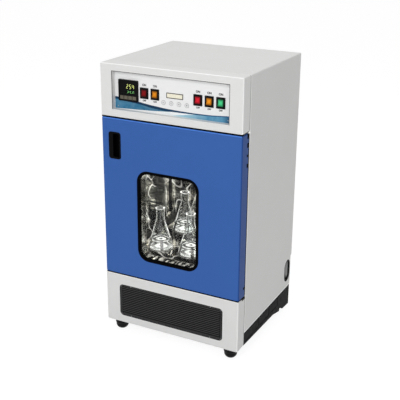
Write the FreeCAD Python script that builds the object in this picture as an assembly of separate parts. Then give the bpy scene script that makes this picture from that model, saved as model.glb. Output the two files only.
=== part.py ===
import FreeCAD, Part
import math
import os
from FreeCAD import Vector

# Upright shaker cabinet in millimetres. X runs to the viewer's right, the front faces -Y, Z is up.
# The origin is on the floor, under the middle of the bounding box.

# Overall sizes
cabinet_width = 506.0
cabinet_depth = 480.0
cabinet_height = 920.0
foot_height = 41.0

# Sheet metal, fits and gaps
sheet = 1.2
edge_radius = 4.0
seam_gap = 1.2
fit = 0.05
easy_gap = 0.3
overrun = 2.0
touching = 0.01

# How the cabinet divides
front_depth = 52.0
head_height = 174.0
plinth_height = 184.5
door_gap_above = 5.0
hinge_plate = 2.2
rear_cover_depth = 11.0
rear_cover_lift = 163.0
foam_lift = 149.0
skirt_height = 47.5

# Chamber
side_wall = 37.0
rear_wall = 31.0
chamber_height = 530.0
chamber_floor_lift = 181.0
sill_height = 30.0
mouth_radius = 8.0
duct_gap = 45.0

# Side skirts and base
skirt_wall = 3.0
skirt_inset = 1.0
skirt_tongue = 12.0
heel_drop = 34.5
deck_thickness = 4.0
beam_depth = 44.0
beam_height = 22.0
side_rail_width = 46.0
pocket_depth = 1.0
pocket_margin = 7.0
pocket_gap = 9.0
pocket_length_shares = [0.30, 0.20, 0.17]
heel_outline_shares = [(0.0, 0.0), (0.636, 0.32), (0.777, 0.725), (0.786, 0.40), (0.854, 0.85), (1.0, 1.0)]

# Levelling feet
foot_from_side = 39.0
front_foot_setback = 35.0
rear_foot_inset = 39.0
foot_sole_radius = 11.0
foot_bowl_radius = 22.0
foot_bowl_height = 20.0
foot_bowl_share = 0.7
foot_rim_radius = 24.0
foot_rim_height = 24.0
foot_chamfer = 1.5
stud_radius = 4.0
stud_length = 20.0
foot_seat_gap = 0.2

# Oval grip recesses low on both sides
grip_length = 54.0
grip_height = 86.0
grip_rear_inset = 4.5
grip_lift = 72.0
grip_rim = 6.0
grip_depth = 16.0
grip_wall = 2.0

# Rear covers
rear_slot_length = 70.0
rear_slot_height = 4.0
rear_slot_pitch = 10.0
rear_slot_rows = 6
rear_slot_columns = 3
rear_slot_spread = 130.0
rear_slot_drop = 40.0
lower_slot_columns = 2
lower_slot_drop = 30.0
lower_slot_rows = 7

# Mains inlet in the lower rear cover
inlet_width = 48.0
inlet_height = 27.0
inlet_flange = 2.5
inlet_corner_radius = 3.0
inlet_body_width = 28.0
inlet_body_height = 21.0
inlet_body_depth = 24.0
socket_width = 24.0
socket_height = 16.0
socket_depth = 16.0
inlet_from_right = 60.0
inlet_lift = 60.0
pin_blade_width = 2.0
pin_blade_height = 4.0
pin_blade_length = 12.0
pin_blade_pitch = 7.0

# Control panel opening in the head box
opening_left_margin = 42.5
opening_right_margin = 45.0
opening_height = 126.0
opening_lift = 25.0
reveal_depth = 18.0
panel_thickness = 1.5
panel_margin = 8.0

# Temperature controller
controller_width = 72.0
controller_height = 69.0
controller_from_left = 54.0
controller_lift = 63.5
controller_proud = 6.0
controller_radius = 2.5
controller_case_inset = 3.0
controller_case_depth = 74.0
display_width = 62.0
display_height = 37.0
display_sink = 1.0
display_top_margin = 6.0
key_strip_height = 14.0
key_strip_bottom_margin = 4.0
key_strip_sink = 0.6
controller_key_width = 12.5
controller_key_count = 4

# Rocker switches
switch_width = 30.3
switch_height = 35.4
switch_lift = 60.5
switch_pitch = 39.0
switch_pair_from_left = 130.8
switch_trio_from_left = 341.4
switch_proud = 2.0
switch_radius = 1.5
switch_body_inset = 2.2
switch_body_depth = 26.0
cavity_width = 17.6
cavity_height = 23.4
cavity_depth = 15.0
terminal_width = 6.3
terminal_thickness = 0.8
terminal_length = 9.0
terminal_pitch = 9.0
rocker_width = 16.8
rocker_height = 22.4
rocker_depth = 7.0
rocker_proud = 1.2
rocker_tail_share = 0.62
rocker_angle = 9.0
rocker_pivot_sink = 3.5
rocker_pin_radius = 1.5
rocker_pin_length = 2.4

# Speed display and its four round keys
lcd_width = 59.2
lcd_height = 17.4
lcd_from_left = 221.2
lcd_lift = 63.5
lcd_proud = 1.0
lcd_border = 2.6
lcd_sink = 0.6
lcd_board_width = 112.0
lcd_board_height = 64.0
lcd_board_thickness = 1.6
lcd_board_gap = 8.0
lcd_board_drop = 14.0
key_radius = 7.7
key_pitch = 27.7
key_from_left = 222.5
key_lift = 38.7
key_proud = 1.0
key_flange = 1.2
key_flange_thickness = 1.0
key_stem_radius = 3.0
key_travel = 0.8
key_stop_gap = 0.2
key_count = 4

# Plinth grille
grille_left_margin = 53.0
grille_right_margin = 55.5
grille_height = 119.6
grille_lift = 28.0
grille_radius = 14.0
grille_frame = 8.0
grille_depth = 9.0
grille_flange = 6.0
grille_flange_thickness = 1.6
grille_sink = 0.4
slat_count = 15
slat_thickness = 1.8
slat_depth = 6.0
slat_tilt = 32.0
rib_width = 2.4
rib_count = 3

# Door
door_setback = 1.0
door_thickness = 46.5
door_sheet = 1.0
door_liner_thickness = 2.5
hinge_from_side = 12.0
hinge_behind_front = 25.5
hinge_pin_radius = 4.0
hinge_pin_length = 24.0
hinge_block_width = 22.0
hinge_block_depth = 24.0
hinge_block_height = 30.0
hinge_plate_inner = 20.0
hinge_plate_outer = 10.0
hinge_plate_front = 12.0
hinge_hole_spare = 3.0
window_width = 229.0
window_height = 322.0
window_shift = -8.2
window_lift = 68.0
window_radius = 41.0
gasket_width = 10.5
gasket_neck_inset = 4.0
gasket_pane_inset = 8.0
gasket_proud = 1.0
gasket_depth = 9.0
glass_thickness = 4.0
pane_sink = 2.0
tunnel_wall = 2.5
inner_pane_sink = 1.0
seal_width = 13.0
seal_mouth_gap = 4.0
seal_height = 4.2
seal_groove_depth = 1.2
seal_groove_width = 4.0
pull_width = 46.0
pull_height = 92.0
pull_from_side = 25.4
pull_drop = 46.5
pull_radius = 9.0
pull_proud = 0.8
pull_rim = 4.0
pull_depth = 26.0
pull_wall = 2.0
pull_lip_depth = 3.0
pull_lip_share = 0.32
foam_skin_gap = 0.1

# Air duct, fan and heater behind the duct panel
fan_lift = 378.0
fan_hole_radius = 62.0
guard_ring_count = 4
guard_ring_width = 2.4
guard_spoke_count = 4
guard_spoke_width = 5.0
duct_top_gap = 22.0
duct_slot_length = 46.0
duct_slot_height = 6.0
duct_slot_pitch = 14.0
duct_slot_rows = 4
duct_slot_columns = 6
duct_slot_spread = 62.0
duct_slot_lift = 70.0
fan_radius = 55.0
fan_hub_radius = 14.0
fan_disc_thickness = 1.6
fan_depth = 20.0
fan_front_gap = 5.0
fan_blade_sweep = 35.0
blade_count = 12
blade_thickness = 1.4
blade_inner_radius = 30.0
fan_shaft_radius = 4.0
fan_shaft_clearance = 1.0
fan_motor_radius = 40.0
fan_motor_depth = 34.0
fan_motor_nose_radius = 12.0
heater_radius = 76.0
heater_tube_radius = 3.5
heater_leg_radius = 3.0
heater_leg_spread = 12.0
evaporator_width = 300.0
evaporator_height = 170.0
evaporator_depth = 26.0
evaporator_lift = 70.0
evaporator_fin_count = 24
evaporator_fin_thickness = 0.8
evaporator_tube_radius = 4.0
evaporator_tube_rows = 6
end_plate_thickness = 1.5
probe_radius = 2.5
probe_length = 55.0
probe_boss_radius = 7.0
probe_boss_length = 6.0
probe_from_left = 70.0
probe_drop = 90.0
lamp_base_radius = 32.0
lamp_base_height = 12.0
lamp_globe_radius = 25.0
lamp_globe_height = 34.0
lamp_from_right = 70.0
lamp_from_duct = 60.0

# Shaker drive: heights are above the chamber floor
orbit_radius = 10.0
base_end_gap = 46.0
base_front_inset = 15.0
base_thickness = 8.0
base_corner_radius = 12.0
bearing_top = 26.0
boss_radius = 22.0
journal_radius = 10.0
shaft_top = 41.0
shaft_foot = 2.0
web_thickness = 6.0
web_radius = 21.0
crank_pin_radius = 8.0
crank_pin_length = 15.5
idler_from_end = 40.0
idler_front_share = 0.28
idler_rear_share = 0.38
open_pivot_gap = 0.3
pulley_height = 14.0
pulley_gap = 0.3
pulley_radius = 60.0
motor_pulley_radius = 20.0
flange_rise = 5.0
flange_thickness = 2.0
pulley_web_thickness = 6.0
pulley_rim_thickness = 8.0
pulley_hub_radius = 20.0
pulley_window_radius = 11.0
pulley_window_count = 5
belt_thickness = 3.0
motor_x = 118.0
motor_y = 30.0
motor_shaft_radius = 6.0
shaft_hole_gap = 1.0
motor_flange_size = 104.0
motor_flange_thickness = 8.0
motor_radius = 45.0
motor_length = 88.0
motor_sleeve_radius = 24.0
motor_bore_depth = 34.0
motor_fin_count = 20
motor_fin_depth = 3.0
motor_fin_width = 3.0
motor_foot_chamfer = 5.0
terminal_box_width = 36.0
terminal_box_depth = 26.0
terminal_box_height = 44.0

# Carrier, platform, clamps and flasks
carrier_end_inset = 37.0
carrier_front_inset = 28.0
carrier_shift_y = 10.0
carrier_thickness = 8.0
carrier_boss_radius = 19.0
carrier_corner_radius = 14.0
carrier_hole_radius = 26.0
platform_side_gap = 24.0
platform_front_gap = 48.0
platform_back_gap = 13.0
platform_sheet = 2.0
platform_lip = 14.0
platform_radius = 10.0
platform_hole_radius = 2.6
platform_hole_pitch_share = 0.08
platform_hole_columns = 11
platform_hole_rows = 7
clamp_column_share = 0.3125
clamp_row_share = 0.65
clamp_disc_radius = 47.0
clamp_disc_thickness = 2.0
finger_count = 5
finger_width = 11.0
finger_thickness = 1.4
finger_gap = 0.4
finger_lean_height = 30.0
finger_hook = 3.0
finger_turn_share = 0.25
spring_radius = 1.6
spring_lift = 32.0
flask_radius = 42.5
flask_height = 148.0
flask_heel_radius = 7.0
flask_neck_radius = 14.2
flask_shoulder_height = 108.0
flask_rim_radius = 17.0
flask_rim_height = 5.0
flask_wall = 1.9
flask_columns = 3
flask_rows = 2

# Refrigeration in the machine room
compressor_from_side = 135.0
compressor_from_back = 107.0
compressor_radius = 58.0
compressor_body_height = 66.0
compressor_dome_height = 26.0
compressor_seam = 3.0
compressor_foot_size = 120.0
compressor_foot_thickness = 3.0
mount_radius = 9.0
mount_height = 12.0
mount_inset = 12.0
stub_radius = 4.0
stub_length = 22.0
condenser_width = 214.0
condenser_height = 116.0
condenser_depth = 40.0
condenser_from_side = 169.0
condenser_behind = 12.0
condenser_fin_count = 26
condenser_fin_thickness = 1.0
condenser_tube_radius = 4.0
condenser_tube_rows = 5
shroud_depth = 16.0
shroud_sheet = 2.0
shroud_ring_radius = 52.0
shroud_ring_wall = 2.0
condenser_fan_radius = 48.0
condenser_fan_hub_radius = 14.0
condenser_fan_depth = 14.0
condenser_blade_count = 5
condenser_blade_thickness = 1.8
condenser_blade_chord = 24.0
condenser_blade_pitch_angle = 32.0
condenser_motor_radius = 26.0
condenser_motor_depth = 34.0
condenser_shaft_radius = 3.0
motor_arm_width = 10.0
motor_arm_thickness = 4.0

# Names of the rockers and keys, from left to right
rocker_names = ["heater_rocker", "cooling_rocker", "shaker_rocker", "light_rocker", "mains_rocker"]
key_names = ["key_set", "key_minus", "key_plus", "key_start"]

# Places worked out from the sizes above
half_width = cabinet_width / 2
front_y = -cabinet_depth / 2
back_y = cabinet_depth / 2
body_front_y = front_y + front_depth
body_back_y = back_y - rear_cover_depth
bottom_z = foot_height
top_z = bottom_z + cabinet_height
head_bottom_z = top_z - head_height
plinth_top_z = bottom_z + plinth_height
door_front_y = front_y + door_setback
door_back_y = door_front_y + door_thickness
door_bottom_z = plinth_top_z + hinge_plate + easy_gap
door_top_z = head_bottom_z - door_gap_above
skirt_top_z = bottom_z + skirt_height
foam_bottom_z = bottom_z + foam_lift
rear_cover_bottom_z = bottom_z + rear_cover_lift
chamber_width = cabinet_width - 2 * side_wall
chamber_depth = cabinet_depth - front_depth - rear_cover_depth - rear_wall
chamber_back_y = body_front_y + chamber_depth
chamber_floor_z = bottom_z + chamber_floor_lift
chamber_top_z = chamber_floor_z + chamber_height
mouth_bottom_z = chamber_floor_z + sill_height
duct_y = chamber_back_y - duct_gap
inner_half_width = half_width - sheet
opening_left_x = opening_left_margin - half_width
opening_right_x = half_width - opening_right_margin
opening_bottom_z = head_bottom_z + opening_lift
opening_top_z = opening_bottom_z + opening_height
panel_y = front_y + reveal_depth
panel_back_y = panel_y + panel_thickness
hinge_x = half_width - hinge_from_side
hinge_y = front_y + hinge_behind_front
shaft_y = -orbit_radius
fan_z = chamber_floor_z + fan_lift
web_bottom_z = chamber_floor_z + shaft_top
web_top_z = web_bottom_z + web_thickness
carrier_bottom_z = web_top_z + easy_gap
pin_top_z = web_top_z + crank_pin_length
carrier_top_z = pin_top_z + easy_gap
platform_top_z = carrier_top_z + platform_sheet
flask_base_z = platform_top_z + clamp_disc_thickness
deck_z = bottom_z + deck_thickness
beam_top_z = deck_z + beam_height
skirt_outer_x = half_width - skirt_inset
skirt_inner_x = skirt_outer_x - skirt_wall
foot_x = half_width - foot_from_side
front_feet = [(side * foot_x, front_y + front_foot_setback) for side in (-1, 1)]
rear_feet = [(side * foot_x, back_y - rear_foot_inset) for side in (-1, 1)]
grip_y = (body_back_y - grip_rear_inset - grip_length, body_back_y - grip_rear_inset)
grip_z = (bottom_z + grip_lift, bottom_z + grip_lift + grip_height)
inlet_x = half_width - inlet_from_right
inlet_z = bottom_z + inlet_lift
controller_x = opening_left_x + controller_from_left
controller_z = opening_bottom_z + controller_lift
switch_z = opening_bottom_z + switch_lift
pair_x = opening_left_x + switch_pair_from_left
trio_x = opening_left_x + switch_trio_from_left
rocker_front_y = panel_y - switch_proud - rocker_proud
rocker_pivot_y = rocker_front_y + rocker_pivot_sink
lcd_x = opening_left_x + lcd_from_left
lcd_z = opening_bottom_z + lcd_lift
key_z = opening_bottom_z + key_lift
liner_front_y = door_back_y - door_liner_thickness
outer_pane_y = (door_front_y + pane_sink, door_front_y + pane_sink + glass_thickness)
fan_front_y = duct_y + sheet + fan_front_gap
fan_nose_y = fan_front_y + fan_depth + fan_shaft_clearance
fan_motor_y = chamber_back_y + sheet
fan_shaft_end_y = fan_motor_y + fan_motor_depth / 2
pulley_bottom_z = chamber_floor_z + bearing_top + pulley_gap
pulley_z = (pulley_bottom_z, pulley_bottom_z + pulley_height)
shaft_hole_radius = motor_shaft_radius + shaft_hole_gap
motor_bore_z = foam_bottom_z - motor_bore_depth
platform_length = chamber_width - 2 * platform_side_gap
platform_width = chamber_depth - duct_gap - platform_front_gap - platform_back_gap
platform_hole_pitch = platform_length * platform_hole_pitch_share
clamp_pitch_x = platform_length * clamp_column_share
clamp_pitch_y = platform_width * clamp_row_share
carrier_length = platform_length - 2 * carrier_end_inset
carrier_width = platform_width - 2 * carrier_front_inset
base_length = chamber_width - 2 * base_end_gap
base_width = platform_width - 2 * base_front_inset
idler_x = base_length / 2 - idler_from_end
idler_front_y = -base_width * idler_front_share
idler_rear_y = base_width * idler_rear_share
pin_places = [(0, 0), (-idler_x, idler_front_y), (idler_x, idler_front_y), (0, idler_rear_y)]
crank_places = [(x, y - orbit_radius) for x, y in pin_places]
compressor_x = compressor_from_side - half_width
compressor_y = body_back_y - compressor_from_back
condenser_x = condenser_from_side - half_width
condenser_front_y = body_front_y + condenser_behind
condenser_back_y = condenser_front_y + condenser_depth
condenser_z = deck_z + condenser_height / 2
shroud_end_y = condenser_back_y + shroud_depth
condenser_shaft_end_y = shroud_end_y + condenser_motor_depth / 2

UP = Vector(0, 0, 1)
BACK = Vector(0, 1, 0)
RIGHT = Vector(1, 0, 0)
FULL_TURN = 360.0


def around(centre, size):
    """The low and high ends of a length set evenly about a centre."""
    return centre - size / 2, centre + size / 2


def spread(centre, pitch, count):
    """Evenly pitched places about a centre."""
    return [centre + pitch * (index - (count - 1) / 2) for index in range(count)]


def between(start, size):
    """The low and high ends of a length that starts at a place."""
    return start, start + size


def past(pair):
    """The same pair with the overrun added beyond both ends."""
    return pair[0] - overrun, pair[1] + overrun


def block(x, y, z):
    """Plain box from three pairs of low and high ends."""
    return Part.makeBox(x[1] - x[0], y[1] - y[0], z[1] - z[0], Vector(x[0], y[0], z[0]))


def rod(start, direction, radius, length):
    """Cylinder from a start point along a direction."""
    return Part.makeCylinder(radius, length, start, direction)


def rod_y(radius, x, y, z):
    """Cylinder along Y between two ends."""
    return rod(Vector(x, y[0], z), BACK, radius, y[1] - y[0])


def rod_z(radius, x, y, z):
    """Cylinder along Z between two ends."""
    return rod(Vector(x, y, z[0]), UP, radius, z[1] - z[0])


def at_front(u, v, w):
    """A flat drawing seen from the front: u is X, v is Z, w is Y."""
    return Vector(u, w, v)


def at_side(u, v, w):
    """A flat drawing seen from the side: u is Y, v is Z, w is X."""
    return Vector(w, u, v)


def at_top(u, v, w):
    """A flat drawing seen from above: u is X, v is Y, w is Z."""
    return Vector(u, v, w)


def rounded_prism(place, u, v, w, radius):
    """Rectangle with round corners, drawn on a plane and pushed from w[0] to w[1]."""
    centres = [(u[1] - radius, v[1] - radius), (u[0] + radius, v[1] - radius),
               (u[0] + radius, v[0] + radius), (u[1] - radius, v[0] + radius)]
    corners = []
    for quarter, (centre_u, centre_v) in enumerate(centres):
        angles = [math.radians(90 * (quarter + step)) for step in (0, 0.5, 1)]
        corners.append([place(centre_u + radius * math.cos(angle), centre_v + radius * math.sin(angle), w[0])
                        for angle in angles])
    edges = []
    for index, points in enumerate(corners):
        edges.append(Part.Arc(*points).toShape())
        following = corners[(index + 1) % len(corners)][0]
        if (following - points[2]).Length > touching:
            edges.append(Part.LineSegment(points[2], following).toShape())
    face = Part.Face(Part.Wire(edges))
    return face.extrude(place(0, 0, w[1]) - place(0, 0, w[0]))


def inset_prism(place, u, v, w, radius, inset):
    """The same prism drawn smaller all round, or larger where the inset is negative."""
    inner_u = (u[0] + inset, u[1] - inset)
    inner_v = (v[0] + inset, v[1] - inset)
    return rounded_prism(place, inner_u, inner_v, w, radius - inset)


def rounded_box(x, y, z, radius, open_y):
    """Box with round edges, apart from those of its open face at y = open_y."""
    solid = block(x, y, z)
    edges = [edge for edge in solid.Edges if abs(edge.CenterOfMass.y - open_y) > touching]
    return solid.makeFillet(radius, edges)


def prism(place, points, w):
    """Straight-sided outline on a plane, pushed from w[0] to w[1]."""
    corners = [place(u, v, w[0]) for u, v in points]
    face = Part.Face(Part.makePolygon(corners + corners[:1]))
    return face.extrude(place(0, 0, w[1]) - place(0, 0, w[0]))


def turned(edges, x, y, z):
    """Edges of a closed half section, drawn in the XZ plane and turned about Z at a place."""
    solid = Part.Face(Part.Wire(edges)).revolve(Vector(0, 0, 0), UP, FULL_TURN)
    solid.translate(Vector(x, y, z))
    return solid


def line(start, end):
    """Straight edge of a half section between two (radius, height) points."""
    return Part.LineSegment(Vector(start[0], 0, start[1]), Vector(end[0], 0, end[1])).toShape()


def curve(start, middle, end):
    """Round edge of a half section through three (radius, height) points."""
    return Part.Arc(*[Vector(point[0], 0, point[1]) for point in (start, middle, end)]).toShape()


def lines(points):
    """Straight edges through a list of (radius, height) points."""
    return [line(start, end) for start, end in zip(points, points[1:])]


def joined(shapes):
    """One solid from several that touch or overlap."""
    return shapes[0].fuse(shapes[1:]).removeSplitter()


switch_places = spread(pair_x, switch_pitch, 2) + spread(trio_x, switch_pitch, 3)
key_places = spread(opening_left_x + key_from_left, key_pitch, key_count)
grille_x = (grille_left_margin - half_width, half_width - grille_right_margin)
grille_z = between(bottom_z + grille_lift, grille_height)
window_x = around(window_shift, window_width)
window_z = between(door_bottom_z + window_lift, window_height)
pull_x = between(-half_width + pull_from_side, pull_width)
pull_z = (door_top_z - pull_drop - pull_height, door_top_z - pull_drop)


def finned_coil(x, y, z, fin_count, fin_thickness, tube_radius, tube_rows, plate_y, plate_z):
    """Block of fins on a tube that runs to and fro, between two end plates."""
    tube_y = (y[0] + y[1]) / 2
    row_pitch = (z[1] - z[0]) / tube_rows
    rows = spread((z[0] + z[1]) / 2, row_pitch, tube_rows)
    fin_pitch = (x[1] - x[0]) / (fin_count + 1)
    solids = []
    for fin_x in spread((x[0] + x[1]) / 2, fin_pitch, fin_count):
        solids.append(block(around(fin_x, fin_thickness), y, z))
    for plate_x in x:
        solids.append(block(around(plate_x, end_plate_thickness), plate_y, plate_z))
    for row_z in rows:
        solids.append(rod(Vector(x[0] - end_plate_thickness, tube_y, row_z), RIGHT, tube_radius,
                          x[1] - x[0] + 2 * end_plate_thickness))
    for index, row_z in enumerate(rows[:-1]):
        side = (index + 1) % 2
        centre = Vector(x[side] + (2 * side - 1) * end_plate_thickness, tube_y, row_z + row_pitch / 2)
        ring = Part.makeTorus(row_pitch / 2, tube_radius, centre, BACK)
        reach = row_pitch + tube_radius
        half = block((centre.x - reach, centre.x) if side == 0 else (centre.x, centre.x + reach),
                     around(tube_y, 2 * reach), around(centre.z, 2 * reach))
        solids.append(ring.common(half))
    return joined(solids)


def base_frame():
    """Black moulded base: side skirts, deck, rails and the beam that carries the front feet."""
    length = body_back_y - body_front_y
    low = [(body_front_y + share * length, bottom_z - drop_share * heel_drop)
           for share, drop_share in heel_outline_shares]
    outline = [(body_front_y, skirt_top_z)] + low + [(body_back_y, skirt_top_z)]
    rail_z = (bottom_z, beam_top_z)
    pocket_z = (bottom_z + pocket_margin, skirt_top_z - pocket_margin)
    beam_half = inner_half_width - edge_radius
    solids = [block((-skirt_inner_x, skirt_inner_x), (body_front_y, body_back_y), (bottom_z, deck_z)),
              block((-beam_half, beam_half), (body_front_y - beam_depth, body_front_y + deck_thickness),
                    (bottom_z + sheet, beam_top_z)),
              block((-skirt_inner_x, skirt_inner_x), (body_back_y - beam_depth, body_back_y - sheet),
                    rail_z)]
    cutters = []
    for side in (-1, 1):
        skirt_x = sorted((side * skirt_inner_x, side * skirt_outer_x))
        tongue_x = sorted((side * (inner_half_width - skirt_wall), side * inner_half_width))
        rail_x = sorted((side * (skirt_inner_x - side_rail_width), side * skirt_inner_x))
        solids.append(prism(at_side, outline, skirt_x))
        solids.append(block(tongue_x, (body_front_y, body_back_y), (deck_z, skirt_top_z + skirt_tongue)))
        solids.append(block(rail_x, (body_front_y, body_back_y - sheet), rail_z))
        pocket_x = sorted((side * (skirt_outer_x - pocket_depth), side * (skirt_outer_x + overrun)))
        start = body_front_y + pocket_margin
        for share in pocket_length_shares:
            pocket_y = between(start, share * length)
            cutters.append(block(pocket_x, pocket_y, pocket_z))
            start = pocket_y[1] + pocket_gap
    for x, y in front_feet + rear_feet:
        cutters.append(rod_z(stud_radius + fit, x, y, past(rail_z)))
    return joined(solids).cut(cutters)


def levelling_foot(x, y):
    """Bowl-shaped rubber foot on its threaded stud."""
    top = foot_height - foot_seat_gap
    swell = (foot_bowl_radius - foot_sole_radius) * foot_bowl_share
    middle = (foot_sole_radius + swell, foot_bowl_height * (1 - foot_bowl_share))
    bowl = curve((foot_sole_radius, 0), middle, (foot_bowl_radius, foot_bowl_height))
    points = [(foot_bowl_radius, foot_bowl_height), (foot_rim_radius, foot_rim_height),
              (foot_rim_radius, top - foot_chamfer), (foot_rim_radius - foot_chamfer, top),
              (stud_radius, top), (stud_radius, top + stud_length), (0, top + stud_length), (0, 0),
              (foot_sole_radius, 0)]
    return turned([bowl] + lines(points), x, y, 0)


def oval(side, inset, x):
    """Upright oval prism at the grip recess of one side."""
    ends = sorted((side * x[0], side * x[1]))
    return inset_prism(at_side, grip_y, grip_z, ends, grip_length / 2, inset)


def cabinet_wrapper():
    """One folded sheet that makes both sides and the top, with a seam behind the front boxes."""
    y = (body_front_y + seam_gap, body_back_y)
    solid = block((-half_width, half_width), y, (skirt_top_z, top_z))
    top_edges = [edge for edge in solid.Edges
                 if edge.BoundBox.YLength > front_depth and edge.CenterOfMass.z > top_z - edge_radius]
    solid = solid.makeFillet(edge_radius, top_edges)
    hollow = block((-inner_half_width, inner_half_width), past(y),
                   (skirt_top_z - overrun, top_z - sheet))
    hollow_edges = [edge for edge in hollow.Edges
                    if edge.BoundBox.YLength > front_depth and edge.CenterOfMass.z > top_z - edge_radius]
    hollow = hollow.makeFillet(edge_radius - sheet, hollow_edges)
    holes = [oval(side, 0, (half_width - sheet - overrun, half_width + overrun)) for side in (-1, 1)]
    return solid.cut([hollow] + holes)


def grip_inserts():
    """Oval recessed grip for each side, set flush in the sheet with a flange behind it."""
    inserts = []
    for side in (-1, 1):
        cup = oval(side, 0, (half_width - grip_depth, half_width))
        flange = oval(side, -grip_wall, (inner_half_width - grip_wall, inner_half_width))
        cavity = oval(side, grip_rim, (half_width - grip_depth + grip_wall, half_width + overrun))
        inserts.append(joined([cup, flange]).cut(cavity))
    return Part.makeCompound(inserts)


def slot_cutters(centre_x, top, y, rows, columns, spread_x, length, height, pitch):
    """Rows and columns of level slots, cut through along Y."""
    cutters = []
    for x in spread(centre_x, spread_x, columns):
        for row in range(rows):
            z = top - row * pitch
            cutters.append(rounded_prism(at_front, around(x, length), (z - height, z), y, height / 2))
    return cutters


def rear_cover():
    """Shallow pan that closes the back above the machine room."""
    y = (body_back_y, back_y)
    pan = rounded_box((-half_width, half_width), y, (rear_cover_bottom_z, top_z), edge_radius, body_back_y)
    hollow = block((-inner_half_width + edge_radius, inner_half_width - edge_radius),
                   (body_back_y - overrun, back_y - sheet),
                   (rear_cover_bottom_z + edge_radius, top_z - edge_radius))
    slots = slot_cutters(0, top_z - rear_slot_drop, (body_back_y, back_y + overrun), rear_slot_rows,
                         rear_slot_columns, rear_slot_spread, rear_slot_length, rear_slot_height,
                         rear_slot_pitch)
    return pan.cut([hollow] + slots)


def compressor_cover():
    """Slotted sheet that closes the back of the machine room."""
    y = (body_back_y - sheet, body_back_y)
    z = (deck_z, rear_cover_bottom_z)
    plate = block((-inner_half_width, inner_half_width), y, z)
    cutters = []
    for side in (-1, 1):
        notch_x = sorted((side * (inner_half_width - skirt_wall), side * half_width))
        cutters.append(block(notch_x, past(y),
                             (z[0] - overrun, skirt_top_z + skirt_tongue)))
    cut_y = past(y)
    cutters += slot_cutters(-rear_slot_spread / 2, z[1] - lower_slot_drop, cut_y, lower_slot_rows,
                            lower_slot_columns, rear_slot_spread, rear_slot_length, rear_slot_height,
                            rear_slot_pitch)
    cutters.append(block(around(inlet_x, inlet_body_width), cut_y, around(inlet_z, inlet_body_height)))
    return plate.cut(cutters)


def mains_inlet():
    """Socket for a mains lead, with its three pins, in the lower rear cover."""
    flange = rounded_prism(at_front, around(inlet_x, inlet_width), around(inlet_z, inlet_height),
                           between(body_back_y, inlet_flange), inlet_corner_radius)
    body = block(around(inlet_x, inlet_body_width), (body_back_y - inlet_body_depth, body_back_y),
                 around(inlet_z, inlet_body_height))
    socket_y = (body_back_y + inlet_flange - socket_depth, body_back_y + inlet_flange + overrun)
    socket = rounded_prism(at_front, around(inlet_x, socket_width), around(inlet_z, socket_height),
                           socket_y, inlet_corner_radius)
    shell = joined([flange, body]).cut(socket)
    pins = [block(around(x, pin_blade_width), (socket_y[0] - overrun, socket_y[0] + pin_blade_length),
                  around(inlet_z, pin_blade_height)) for x in spread(inlet_x, pin_blade_pitch, 3)]
    return joined([shell] + pins)


def front_shell(z):
    """Folded box across the front, open at the back."""
    outer = rounded_box((-half_width, half_width), (front_y, body_front_y), z, edge_radius, body_front_y)
    inner = rounded_box((-inner_half_width, inner_half_width), (front_y + sheet, body_front_y + overrun),
                        (z[0] + sheet, z[1] - sheet), edge_radius - sheet, body_front_y + overrun)
    return outer.cut(inner)


def control_head():
    """Head box with the deep rectangular opening of the control panel."""
    shell = front_shell((head_bottom_z, top_z))
    reveal = block((opening_left_x - sheet, opening_right_x + sheet), (front_y, panel_y),
                   (opening_bottom_z - sheet, opening_top_z + sheet))
    opening = block((opening_left_x, opening_right_x), (front_y - overrun, panel_y + overrun),
                    (opening_bottom_z, opening_top_z))
    return joined([shell, reveal]).cut(opening)


def control_panel():
    """Flat plate behind the opening, cut out for everything that it carries."""
    y = (panel_y, panel_back_y)
    cut_y = past(y)
    plate = block((opening_left_x - panel_margin, opening_right_x + panel_margin), y,
                  (opening_bottom_z - panel_margin, opening_top_z + panel_margin))
    cutters = [block(around(controller_x, controller_width - 2 * controller_case_inset), cut_y,
                     around(controller_z, controller_height - 2 * controller_case_inset)),
               block(around(lcd_x, lcd_width), cut_y, around(lcd_z, lcd_height))]
    for x in switch_places:
        cutters.append(block(around(x, switch_width - 2 * switch_body_inset), cut_y,
                             around(switch_z, switch_height - 2 * switch_body_inset)))
    for x in key_places:
        cutters.append(rod_y(key_radius + easy_gap, x, cut_y, key_z))
    return plate.cut(cutters)


def temperature_controller():
    """Square controller: bezel, sunk display and key strip, and the case behind the panel."""
    front = panel_y - controller_proud
    x = around(controller_x, controller_width)
    z = around(controller_z, controller_height)
    bezel = rounded_prism(at_front, x, z, (front, panel_y), controller_radius)
    case = block(around(controller_x, controller_width - 2 * controller_case_inset),
                 (panel_y, panel_y + controller_case_depth),
                 around(controller_z, controller_height - 2 * controller_case_inset))
    display = block(around(controller_x, display_width), (front - overrun, front + display_sink),
                    (z[1] - display_top_margin - display_height, z[1] - display_top_margin))
    strip_z = (z[0] + key_strip_bottom_margin, z[0] + key_strip_bottom_margin + key_strip_height)
    strip = block(around(controller_x, display_width), (front - overrun, front + key_strip_sink), strip_z)
    body = joined([bezel, case]).cut([display, strip])
    pitch = display_width / controller_key_count
    keys = [block(around(x_key, controller_key_width), (front, front + display_sink),
                  around((strip_z[0] + strip_z[1]) / 2, key_strip_height - 2 * key_strip_sink))
            for x_key in spread(controller_x, pitch, controller_key_count)]
    return joined([body] + keys)


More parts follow.
